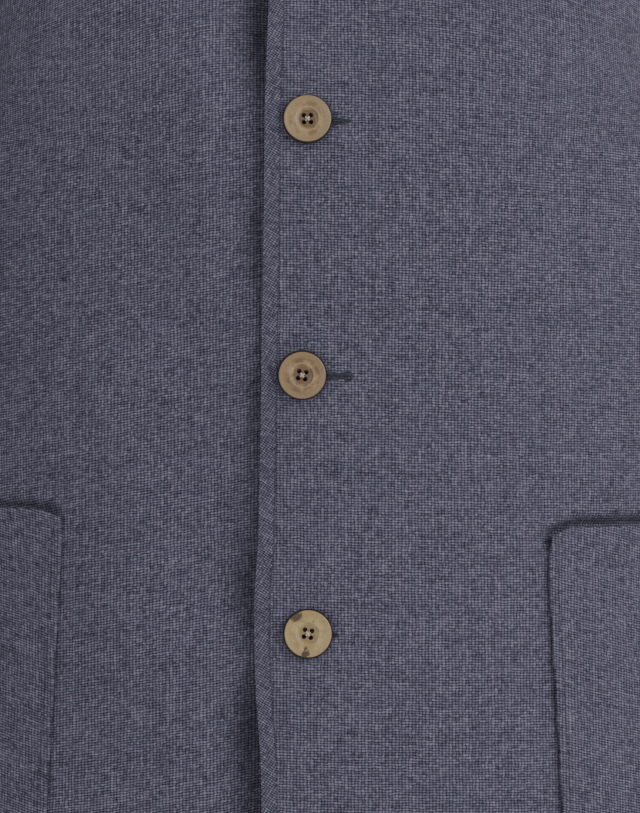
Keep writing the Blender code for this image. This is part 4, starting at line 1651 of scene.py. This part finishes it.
@dataclass
class Collar:
    """The band collar, standing on the neckline with rounded front corners.

    It starts an end's length from the middle, leans in towards the neck, and turns up over
    the length of turn. soften rounds the neckline's corners where the shoulders meet it.
    """

    form: BodyForm
    left: Sheet
    right: Sheet
    height: float = 0.038
    corner: float = 0.012
    end: float = 0.003
    lean: float = math.radians(11)
    turn: float = 0.010
    soften: float = 0.015
    wall: float = 0.0024
    half_gap: float = -0.0003
    strip: float = 0.0055
    rows: int = 24
    first_steps: int = 12
    unsewn: int = 4
    cut: Cut = Cut(0.530, 0.040, 0.0181)

    def base_line(self, sheet: Sheet) -> tuple[Grid, Grid]:
        """One side's neckline, from the collar's end to the back's middle.

        Args:
            sheet: The side's cloth.

        Returns:
            Its points, and the way out of the cloth at each.
        """
        form = self.form
        throat, nape = form.row("throat"), form.row("nape")
        start = self.end / form.overlap
        line, facing = [], []
        for part in np.linspace(start, 1.0, self.first_steps, endpoint=False):
            place = form.middle + part * (form.inner - form.middle)
            column = int(place)
            share = place - column
            for grid, found in ((sheet.points, line), (sheet.facing, facing)):
                found.append(between(grid[throat, column], grid[throat, column + 1], share))
        for row in range(throat, nape + 1):
            line.append(sheet.points[row, form.inner])
            facing.append(sheet.facing[row, form.inner])
        for column in range(form.inner - 1, form.middle - 1, -1):
            line.append(sheet.points[nape, column])
            facing.append(sheet.facing[nape, column])
        return np.array(line), unit(np.array(facing))

    def sheet(self) -> Sheet:
        """The collar's outer face.

        Returns:
            Its cloth, from the right end to the left one and from the foot up.
        """
        line_left, facing_left = self.base_line(self.left)
        line_right, facing_right = self.base_line(self.right)
        line = np.concatenate([line_right, line_left[-2::-1]])
        facing = np.concatenate([facing_right, facing_left[-2::-1]])
        up = unit(np.cross(facing, unit(np.gradient(line, axis=0))))
        up = up * np.sign(up[len(up) // 2, 2])
        along = distances_along(line)
        from_end = np.minimum(along, along[-1] - along)
        into = np.clip(self.corner - from_end, 0.0, None)
        drop = self.corner - np.sqrt(self.corner**2 - into**2)
        height = (self.height - drop)[:, None]
        base = line + self.half_gap * up
        soft = softened(base, self.soften)
        neck = -soft * np.array((1.0, 1.0, 0.0))
        rise = np.array((0.0, 0.0, math.cos(self.lean))) + math.sin(self.lean) * unit(neck)
        soft_up = unit(np.cross(unit(neck), unit(np.gradient(soft, axis=0))))
        soft_up = soft_up * np.sign(soft_up[len(soft_up) // 2, 2])
        bend, top = (base + soft) / 2 + self.turn * soft_up, soft + height * rise
        rows = []
        for share in np.linspace(0.0, 1.0, self.rows):
            rows.append((1 - share) ** 2 * base + 2 * share * (1 - share) * bend + share**2 * top)
        grid = np.array(rows)
        faces = grid_normals(grid)
        faces = faces * np.sign((faces[-1] * -neck).sum())
        faces[0] = facing
        climb = distances_along(grid)
        edge = np.minimum(climb[-1] - climb, np.broadcast_to(from_end, climb.shape))
        flat = np.stack([np.broadcast_to(along, climb.shape), climb], axis=-1)
        return Sheet(grid, faces, flat, edge)

    def build(self, material: Material, thread: Material) -> list[Piece]:
        """Makes the collar and the stitches round its free edge.

        Args:
            material: The collar's finish.
            thread: The stitches' finish.

        Returns:
            The pieces.
        """
        sheet = self.sheet()
        piece = ClothPiece("collar_band_cloth", [sheet], material, wall=self.wall).build()
        declare_cloth("collar_band", self.cut)
        columns = slice(self.unsewn, -self.unsewn)
        line, facing = sheet.points[-1, columns], sheet.facing[-1, columns]
        inward = sheet.points[0, columns] - line
        run = StitchRun("collar_stitches")
        run.add_line(inset_line(line, facing, inward, self.strip), facing)
        return [piece, run.build(thread)]


@dataclass
class Pocket:
    """A patch pocket on a front, its mouth a little open.

    mouth_shift and edge_shift set its mouth and its front edge off the sections' rows and
    columns, and corner_turn turns the edge's top over turn_reach. The mouth rises by
    mouth_rise within rise_reach of its ends, and gapes by gape past gape_reach from them.
    Above lip_share the mouth faces as the cloth below it does, so that its lip stays level.
    """

    form: BodyForm
    front: Sheet
    side: Side
    mouth_shift: float
    edge_shift: float = 0.0
    corner_turn: float = 0.0
    corner: float = 0.038
    mouth_rise: float = 0.0034
    lift: float = 0.00045
    gape: float = 0.0024
    turn_reach: float = 0.026
    turn_power: float = 2.5
    rise_start: float = 0.001
    rise_reach: float = 0.012
    gape_reach: float = 0.030
    gape_power: int = 8
    lip_share: float = 0.93
    mouth_edge: float = 0.004
    weave_offset: tuple[float, float] = (0.0004, 0.0003)
    wall: float = 0.002
    strip: float = 0.0038
    front_column: int = 5
    back_column: int = 13
    rows: int = 64
    cut: Cut = Cut(0.182, 0.216, 0.0366)

    def across(self, grid: Grid) -> Grid:
        """The part of a front that the pocket covers.

        Args:
            grid: Values of the front from the hem up.

        Returns:
            The values, a column for each of the pocket's, its front edge first.
        """
        form = self.form
        columns = np.arange(form.column(self.front_column), form.column(self.back_column) + 1.0)
        places = np.tile(columns, (len(grid), 1))
        heights = self.front.points[: len(grid), form.column(self.front_column), 2]
        mouth = heights[form.row("pocket mouth")] + self.mouth_shift
        near = np.clip((heights - mouth) / self.turn_reach + 1.0, 0.0, 1.0)
        places[:, 0] += self.edge_shift + self.corner_turn * near**self.turn_power
        low = places.astype(int)
        share = (places - low)[..., None]
        rows = np.arange(len(grid))[:, None]
        return between(grid[rows, low], grid[rows, low + 1], share)

    def sheet(self) -> Sheet:
        """The pocket's outer face.

        Returns:
            Its cloth, from the foot up to the mouth.
        """
        foot, mouth = self.form.row("pocket foot"), self.form.row("pocket mouth")
        over = slice(0, self.form.row("throat"))
        grids = (self.front.points, self.front.facing, self.front.flat)
        points, normals, flats = (self.across(grid[over]) for grid in grids)
        along = distances_along(points[foot])
        from_side = np.minimum(along, along[-1] - along)
        into = np.clip(self.corner - from_side, 0.0, None)
        low = points[foot, :, 2] + self.corner - np.sqrt(self.corner**2 - into**2)
        high = points[mouth, :, 2] + self.mouth_shift
        rise = smooth_step((from_side - self.rise_start) / self.rise_reach)
        high = high + self.mouth_rise * rise
        open_by = self.gape * smooth_step(from_side / self.gape_reach)
        share = np.linspace(0.0, 1.0, self.rows)
        below = np.minimum(share, self.lip_share)
        grid = np.zeros((self.rows, len(along), 3))
        faces, flat = np.zeros_like(grid), np.zeros((self.rows, len(along), 2))
        copied = ((points, grid, share), (normals, faces, below), (flats, flat, share))
        for column, heights in enumerate(points[..., 2].T):
            for line, found, part in copied:
                wanted = low[column] + (high[column] - low[column]) * part
                for axis in range(found.shape[-1]):
                    found[:, column, axis] = np.interp(wanted, heights, line[:, column, axis])
        faces = unit(faces)
        stand = self.lift + self.wall + open_by[None, :] * share[:, None] ** self.gape_power
        grid = grid + stand[..., None] * faces
        climb = distances_along(grid)
        from_mouth = climb[-1] - climb + self.mouth_edge
        edge = np.minimum(np.minimum(climb, from_mouth), from_side[None, :])
        return Sheet(grid, faces, flat + np.array(self.weave_offset), edge)

    def build(self, material: Material, thread: Material) -> list[Piece]:
        """Makes the pocket and the stitches that hold it to the front.

        Args:
            material: The pocket's finish.
            thread: The stitches' finish.

        Returns:
            The pieces.
        """
        sheet = self.sheet()
        node = f"pocket_{self.side.value}"
        piece = ClothPiece(f"{node}_cloth", [sheet], material, wall=self.wall).build()
        declare_cloth(node, self.cut)
        outline = [(row, 0) for row in range(self.rows - 1, 0, -1)]
        outline += [(0, column) for column in range(sheet.points.shape[1])]
        outline += [(row, -1) for row in range(1, self.rows)]
        rows, columns = zip(*outline)
        line, facing = sheet.points[rows, columns], sheet.facing[rows, columns]
        inward = sheet.points[self.rows // 2, sheet.points.shape[1] // 2] - line
        run = StitchRun(f"{node}_stitches", pitch=0.0034, length=0.0018, thickness=0.0003)
        run.add_line(inset_line(line, facing, inward, self.strip), facing)
        return [piece, run.build(thread)]


@dataclass
class Button:
    """A turned button with four holes and its thread.

    turn is how far it is turned on its thread. outline is half its section, in millimetres
    from the axis and from its back. The thread is three strands each way, a strand apart and
    strand_width wide, the outer ones strand_drop lower, with a knot of three turns.
    """

    number: int
    x: float
    z: float
    fronts: Fronts
    finish: Horn
    turn: float = 0.0
    radius: float = 0.010
    gap: float = 0.0008
    steps: int = 72
    hole: float = 0.00195
    hole_pitch: float = 0.0029
    strand: float = 0.00022
    strand_width: float = 0.00036
    strand_share: float = 0.92
    strand_drop: float = 0.00005
    thread_height: float = 0.00192
    drill_sides: int = 20
    drill_length: float = 0.006
    drill_middle: float = 0.0015
    sharp: float = math.radians(48)
    knot: tuple[tuple[float, float], ...] = ((0.0, 0.0), (0.00035, -0.0002), (-0.0003, 0.00025))
    knot_height: float = 0.00228
    knot_size: tuple[float, float] = (0.00095, 0.0006)
    outline: tuple[tuple[float, float], ...] = (
        (0.0, 0.0), (8.6, 0.0), (9.7, 0.25), (10.3, 0.75), (10.45, 1.2), (10.35, 1.6), (10.1, 2.1),
        (9.9, 2.4), (9.65, 2.62), (9.35, 2.7), (9.0, 2.6), (8.6, 2.45), (7.6, 2.36), (6.4, 2.34),
        (5.6, 2.36), (5.25, 2.46), (4.95, 2.5), (4.7, 2.42), (4.45, 2.2), (4.2, 1.9), (3.8, 1.7),
        (3.0, 1.6), (0.0, 1.55),
    )

    def seat(self) -> Matrix:
        """Where the button's back lies.

        Returns:
            Its place and turn.
        """
        point, out = self.fronts.at(self.x, self.z)
        low, _ = self.fronts.at(self.x, self.z - self.radius)
        high, _ = self.fronts.at(self.x, self.z + self.radius)
        along = unit(high - low)
        facing = np.array((0.0, -along[2], along[1]))
        bulge = max(0.0, float((point - (low + high) / 2) @ facing))
        middle = (low + high) / 2 + (bulge + self.gap) * facing
        up, way = Vector(along), Vector(facing)
        turned = Matrix((up.cross(way), up, way)).transposed().to_4x4()
        return Matrix.Translation(Vector(middle)) @ turned @ Matrix.Rotation(self.turn, 4, "Z")

    def blank(self) -> bpy.types.Mesh:
        """The button's outline turned round its axis.

        Returns:
            The mesh, with its back at the origin.
        """
        work = bmesh.new()
        points = [work.verts.new((r / 1000, 0.0, h / 1000)) for r, h in self.outline]
        edges = [work.edges.new(pair) for pair in zip(points, points[1:])]
        bmesh.ops.spin(
            work, geom=points + edges, cent=(0, 0, 0), axis=(0, 0, 1), angle=2 * math.pi,
            steps=self.steps, use_merge=True,
        )
        bmesh.ops.remove_doubles(work, verts=work.verts[:], dist=DOUBLES)
        bmesh.ops.recalc_face_normals(work, faces=work.faces[:])
        return mesh_of(work, "button_blank")

    def drills(self) -> bpy.types.Mesh:
        """Four rods where the thread holes go.

        Returns:
            The mesh of all four.
        """
        work = bmesh.new()
        for x, y in self.holes():
            bmesh.ops.create_cone(
                work, cap_ends=True, segments=self.drill_sides, radius1=self.hole / 2,
                radius2=self.hole / 2, depth=self.drill_length,
                matrix=Matrix.Translation((x, y, self.drill_middle)),
            )
        return mesh_of(work, "drills")

    def holes(self) -> list[tuple[float, float]]:
        """The middles of the four holes."""
        half = self.hole_pitch / 2
        return [(half, half), (-half, half), (-half, -half), (half, -half)]

    def drilled(self) -> bpy.types.Mesh:
        """The blank with its holes through it.

        Returns:
            The drilled mesh.
        """
        things = []
        for mesh in (self.blank(), self.drills()):
            thing = bpy.data.objects.new(mesh.name, mesh)
            bpy.context.scene.collection.objects.link(thing)
            things.append(thing)
        cut = things[0].modifiers.new("thread holes", "BOOLEAN")
        cut.operation = "DIFFERENCE"
        cut.object = things[1]
        graph = bpy.context.evaluated_depsgraph_get()
        mesh = bpy.data.meshes.new_from_object(things[0].evaluated_get(graph))
        for thing in things:
            bpy.data.objects.remove(thing, do_unlink=True)
        return mesh

    def build(self, thread: Material) -> list[Piece]:
        """Makes the button and its thread.

        Args:
            thread: The finish of the thread through the holes.

        Returns:
            The pieces.
        """
        seat = self.seat()
        mesh = self.drilled()
        mesh.name = f"button_{self.number}_horn"
        work = bmesh.new()
        work.from_mesh(mesh)
        places = work.loops.layers.uv.new("flat")
        for face in work.faces:
            for loop in face.loops:
                loop[places].uv = loop.vert.co.xy
        work.to_mesh(mesh)
        work.free()
        mesh.transform(seat)
        mesh.shade_smooth()
        mesh.set_sharp_from_angle(angle=self.sharp)
        button = finished_object(mesh.name, mesh, self.finish.material())
        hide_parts(f"button_{self.number}")
        return [button, self.cross(seat, thread)]

    def cross(self, seat: Matrix, thread: Material) -> Piece:
        """Makes the thread that crosses between the holes, knotted in the middle.

        Args:
            seat: The button's place and turn.
            thread: The thread's finish.

        Returns:
            The piece.
        """
        run = StitchRun(f"button_{self.number}_thread")
        holes = [Vector((x, y, self.thread_height)) for x, y in self.holes()]
        turned = seat.to_3x3()
        out = np.array(turned @ Vector((0, 0, 1)))
        for layer, (start, end) in enumerate(((holes[0], holes[2]), (holes[1], holes[3]))):
            way = (end - start).normalized()
            side = Vector((-way.y, way.x, 0.0))
            for strand in (-1.0, 0.0, 1.0):
                middle = (start + end) / 2 + side * strand * self.strand
                middle.z += self.strand * layer - self.strand_drop * abs(strand)
                run.add_stitch(
                    np.array(seat @ middle), np.array(turned @ way), out,
                    self.hole_pitch * self.strand_share, self.strand_width,
                )
        way = np.array(turned @ Vector((1, 1, 0)))
        for x, y in self.knot:
            middle = seat @ Vector((x, y, self.knot_height))
            run.add_stitch(np.array(middle), way, out, *self.knot_size)
        return run.build(thread)


@dataclass
class Buttonhole:
    """The purled buttonhole that a button comes through, with its slit, a near-black row of
    painted shadow.

    slit_end is how far out it reaches and eye the width of its rounded end. The purl lies a
    pitch apart and purl_gap off the slit, leans by slant, tapers over taper_reach from
    taper_from by taper_by, and its length swings by uneven in two beats. Round the eye
    stitch and stitches grow by stitch_growth and stitches_growth times its width.
    """

    number: int
    x: float
    z: float
    fronts: Fronts
    slit_end: float
    eye: float
    pitch: float = 0.00044
    length: float = 0.00120
    width: float = 0.00046
    above: float = 0.00006
    purl_gap: float = 0.00028
    slant: float = 0.2
    taper_reach: float = 0.006
    taper_from: float = 1.15
    taper_by: float = 0.60
    uneven: float = 0.22
    beats: tuple[float, float] = (2.3, 0.7)
    stitch: float = 0.0008
    stitch_growth: float = 0.45
    stitches: int = 9
    stitches_growth: float = 9000.0
    eye_gap: float = 0.0002
    eye_turn: float = 0.8 * math.pi
    eye_size: float = 0.0006
    eye_flat: float = 0.6
    slit_start: float = 0.0055
    slit_drop: float = 0.0006
    slit_pitch: float = 0.0018
    slit_above: float = 0.00004
    slit_size: tuple[float, float] = (0.0024, 0.00052)

    def purl_stitch(self, run: StitchRun, x: float, z: float, way: Grid, length: float) -> None:
        """Adds a stitch that lies on the front at X and Z."""
        point, out = self.fronts.at(x, z)
        run.add_stitch(point + self.above * out, way, out, length, self.width)

    def purl(self, start: float, level: float) -> StitchRun:
        """Sews the purl along both sides of the slit and round its end.

        Args:
            start: Where the slit starts, beside the middle.
            level: The slit's height.

        Returns:
            The stitches.
        """
        run, end = StitchRun(f"buttonhole_{self.number}"), self.slit_end
        for step, spot in enumerate(np.arange(start, end, self.pitch)):
            near = (spot - end + self.taper_reach) / self.taper_reach
            taper = self.taper_from - self.taper_by * float(smooth_step(near))
            swing = math.sin(step * self.beats[0] + self.number) * math.cos(step * self.beats[1])
            length = self.length * taper * (1.0 + self.uneven * swing)
            for way in (-1.0, 1.0):
                height = level + way * (self.purl_gap + length / 2)
                self.purl_stitch(run, spot, height, np.array((self.slant * way, 0.0, 1.0)), length)
        length = self.stitch + self.stitch_growth * self.eye
        count = self.stitches + round(self.eye * self.stitches_growth)
        for angle in np.linspace(-self.eye_turn, self.eye_turn, count):
            way = np.array((math.cos(angle), 0.0, math.sin(angle)))
            far = self.eye_gap + self.eye * 0.5 + length / 2
            self.purl_stitch(run, end + far * way[0], level + far * way[2], way, length)
        return run

    def build(self, purl: Material, shade: Material) -> list[Piece]:
        """Makes the stitches and the slit's painted shadow.

        Args:
            purl: The stitches' finish.
            shade: The slit's finish, near black, for its painted shadow.

        Returns:
            The pieces.
        """
        start, level = self.x - self.slit_start, self.z - self.slit_drop
        run = self.purl(start, level)
        # Painted shadow: a row of near-black stitches down the slit and a blot at its eye, where
        # the cut would show the dark beneath.
        slit_shadow = StitchRun(f"buttonhole_{self.number}_slit")
        for spot in np.arange(start, self.slit_end, self.slit_pitch):
            point, out = self.fronts.at(spot, level)
            ahead, _ = self.fronts.at(spot + LOOK_AHEAD, level)
            slit_shadow.add_stitch(point + self.slit_above * out, ahead - point, out, *self.slit_size)
        point, out = self.fronts.at(self.slit_end, level)
        size = self.eye_size + self.eye
        slit_shadow.add_stitch(point, np.array((1.0, 0.0, 0.0)), out, size, size * self.eye_flat)
        return [run.build(purl), slit_shadow.build(shade)]


@dataclass
class Studio:
    """The camera at the photo's angle, soft light from the viewer's right and a pale floor.

    view_height is the height that the picture takes in at the camera's distance from aim.
    Each light has a name, a place, a size and a power.
    """

    aim: Vector = field(default_factory=lambda: Vector((0.0054, -0.130, -0.3622)))
    distance: float = 1.2
    view_height: float = 0.33875
    sensor: float = 36.0
    floor_z: float = -0.95
    floor_reach: float = 40.0
    lights: tuple[tuple[str, tuple[float, float, float], float, float], ...] = (
        ("key", (2.2, -1.75, 0.55), 2.4, 52.0),
        ("fill", (-1.4, -2.3, -0.1), 2.0, 16.0),
        ("back", (0.6, 2.4, 0.9), 1.6, 40.0),
    )
    room: tuple[float, float, float, float] = (0.92, 0.94, 1.0, 1.0)
    room_strength: float = 0.42
    clip: tuple[float, float] = (0.02, 50.0)

    def camera(self) -> None:
        """Adds the camera, level and square to the front."""
        data = bpy.data.cameras.new("camera")
        data.sensor_width = self.sensor
        data.lens = self.sensor * self.distance / self.view_height
        data.clip_start, data.clip_end = self.clip
        camera = bpy.data.objects.new("camera", data)
        camera.location = self.aim - Vector((0.0, self.distance, 0.0))
        camera.rotation_euler = (math.pi / 2, 0.0, 0.0)
        bpy.context.scene.collection.objects.link(camera)
        bpy.context.scene.camera = camera

    def light(self, name: str, place: Sequence[float], size: float, power: float) -> None:
        """Adds a soft square light that faces the jacket.

        Args:
            name: Its name.
            place: Where it hangs.
            size: Its side.
            power: Its power, in watts.
        """
        data = bpy.data.lights.new(name, "AREA")
        data.shape = "SQUARE"
        data.size = size
        data.energy = power
        light = bpy.data.objects.new(name, data)
        light.location = place
        way = self.aim - Vector(place)
        light.rotation_euler = way.to_track_quat("-Z", "Y").to_euler()
        bpy.context.scene.collection.objects.link(light)

    def floor(self) -> None:
        """Adds the floor, which isn't part of the jacket."""
        work = bmesh.new()
        bmesh.ops.create_grid(work, x_segments=2, y_segments=2, size=self.floor_reach)
        bmesh.ops.translate(work, verts=work.verts[:], vec=(0.0, 0.0, self.floor_z))
        mesh = mesh_of(work, "floor")
        mesh.materials.append(PlainFloor().material())
        floor = bpy.data.objects.new("floor", mesh)
        bpy.context.scene.collection.objects.link(floor)

    def build(self) -> None:
        """Sets up the studio."""
        self.camera()
        self.floor()
        for light in self.lights:
            self.light(*light)
        world = bpy.data.worlds.new("pale_room")
        world.use_nodes = True
        ground = world.node_tree.nodes["Background"]
        ground.inputs["Color"].default_value = self.room
        ground.inputs["Strength"].default_value = self.room_strength
        bpy.context.scene.world = world


BUTTON_HORNS = (
    Horn("horn_1", (0.370, 0.240, 0.118), (0.190, 0.112, 0.052), (0.305, 0.210, 0.105),
         (0.140, 0.082, 0.034), 1.3, 0.35),
    Horn("horn_2", (0.383, 0.256, 0.127), (0.215, 0.135, 0.066), (0.300, 0.215, 0.110),
         (0.150, 0.086, 0.037), 2.9, 0.45),
    Horn("horn_3", (0.350, 0.225, 0.108), (0.180, 0.106, 0.050), (0.265, 0.175, 0.090),
         (0.150, 0.085, 0.036), 4.1, 0.45),
    Horn("horn_4", (0.480, 0.355, 0.143), (0.345, 0.230, 0.095), (0.380, 0.270, 0.120),
         (0.270, 0.180, 0.085), 6.7, 0.5,
         ((-0.0062, 0.0064, 0.0032), (0.0003, -0.0085, 0.0022), (0.0001, -0.0062, 0.0014))),
    Horn("horn_5", (0.380, 0.250, 0.122), (0.200, 0.125, 0.062), (0.300, 0.205, 0.105),
         (0.150, 0.086, 0.037), 8.2, 0.4),
)


class ButtonPlace(NamedTuple):
    """Where a button lies, how far it is turned, and its buttonhole's end and eye."""

    x: float
    z: float
    turn: float
    slit_end: float
    eye: float


BUTTON_PLACES = (
    ButtonPlace(0.0, -0.1345, 0.12, 0.0155, 0.0),
    ButtonPlace(0.0002, -0.2430, 0.02, 0.0174, 0.0),
    ButtonPlace(-0.0020, -0.3490, -0.15, 0.0172, 0.0014),
    ButtonPlace(0.0004, -0.4570, -0.16, 0.0124, 0.0),
    ButtonPlace(0.0, -0.5645, 0.3, 0.0160, 0.0006),
)


class PocketPlace(NamedTuple):
    """A pocket's side, its mouth's and its front edge's shifts, and its corner's turn."""

    side: Side
    mouth_shift: float
    edge_shift: float
    corner_turn: float


POCKET_PLACES = (
    PocketPlace(Side.LEFT, -0.0059, -0.38, 0.44),
    PocketPlace(Side.RIGHT, 0.0020, 0.6, 0.0),
)
EDGE_STRIP = 0.0066


def report(pieces: Iterable[Piece]) -> None:
    """Reports each piece and its size in faces."""
    for piece in pieces:
        LOG.info("%s: %d faces", piece.name, len(piece.data.polygons))


def main() -> None:
    """Builds the jacket's pieces in order, then the studio."""
    logging.basicConfig(level=logging.INFO, format="%(message)s")
    form = BodyForm()
    creases = BODY_CREASES + MOUTH_CREASES
    left, right = form.sheet(Side.LEFT, creases), form.sheet(Side.RIGHT, creases)
    plain = WovenCloth("cloth_plain").material()
    turned = {"slope": -0.03, "strip": EDGE_STRIP, "strip_slope": -0.62}
    over = WovenCloth("cloth_over_front", **turned).material()
    under = WovenCloth("cloth_under_front", slope=0.16).material()
    patch = WovenCloth("cloth_pocket", slope=-0.24, strip=Pocket.strip).material()
    band = WovenCloth("cloth_collar", strip=Collar.strip).material()
    sewing = Thread("edge_thread", (0.075, 0.075, 0.105), (0.030, 0.030, 0.048)).material()
    cream = Thread("button_thread", (0.82, 0.70, 0.54), (0.42, 0.31, 0.20)).material()
    navy = Thread("buttonhole_thread", (0.034, 0.044, 0.068), (0.007, 0.011, 0.020)).material()
    # Near-black finish for the buttonhole slits: painted shadow, not thread.
    shade = Thread("buttonhole_slit_shadow", (0.008, 0.008, 0.014), (0.002, 0.002, 0.004)).material()
    fronts = Fronts(form, left, right)
    report([
        fronts.front("front_left", left, over),
        fronts.front("front_right", right, under),
        fronts.edge_stitches(EDGE_STRIP, sewing),
    ])
    report([Back(form, left, right).build(plain)])
    report(Collar(form, left, right).build(band, sewing))
    for body, (side, *place) in zip((left, right.mirrored()), POCKET_PLACES):
        report(Sleeve(form, body, side).build(plain))
        report(Pocket(form, form.sheet(side, BODY_CREASES), side, *place).build(patch, sewing))
    for number, (place, horn) in enumerate(zip(BUTTON_PLACES, BUTTON_HORNS), 1):
        x, z, turn, *slit_shadow = place
        report(Button(number, x, z, fronts, horn, turn).build(cream))
        report(Buttonhole(number, x, z, fronts, *slit_shadow).build(navy, shade))
    Studio().build()


if __name__ == "__main__":
    main()
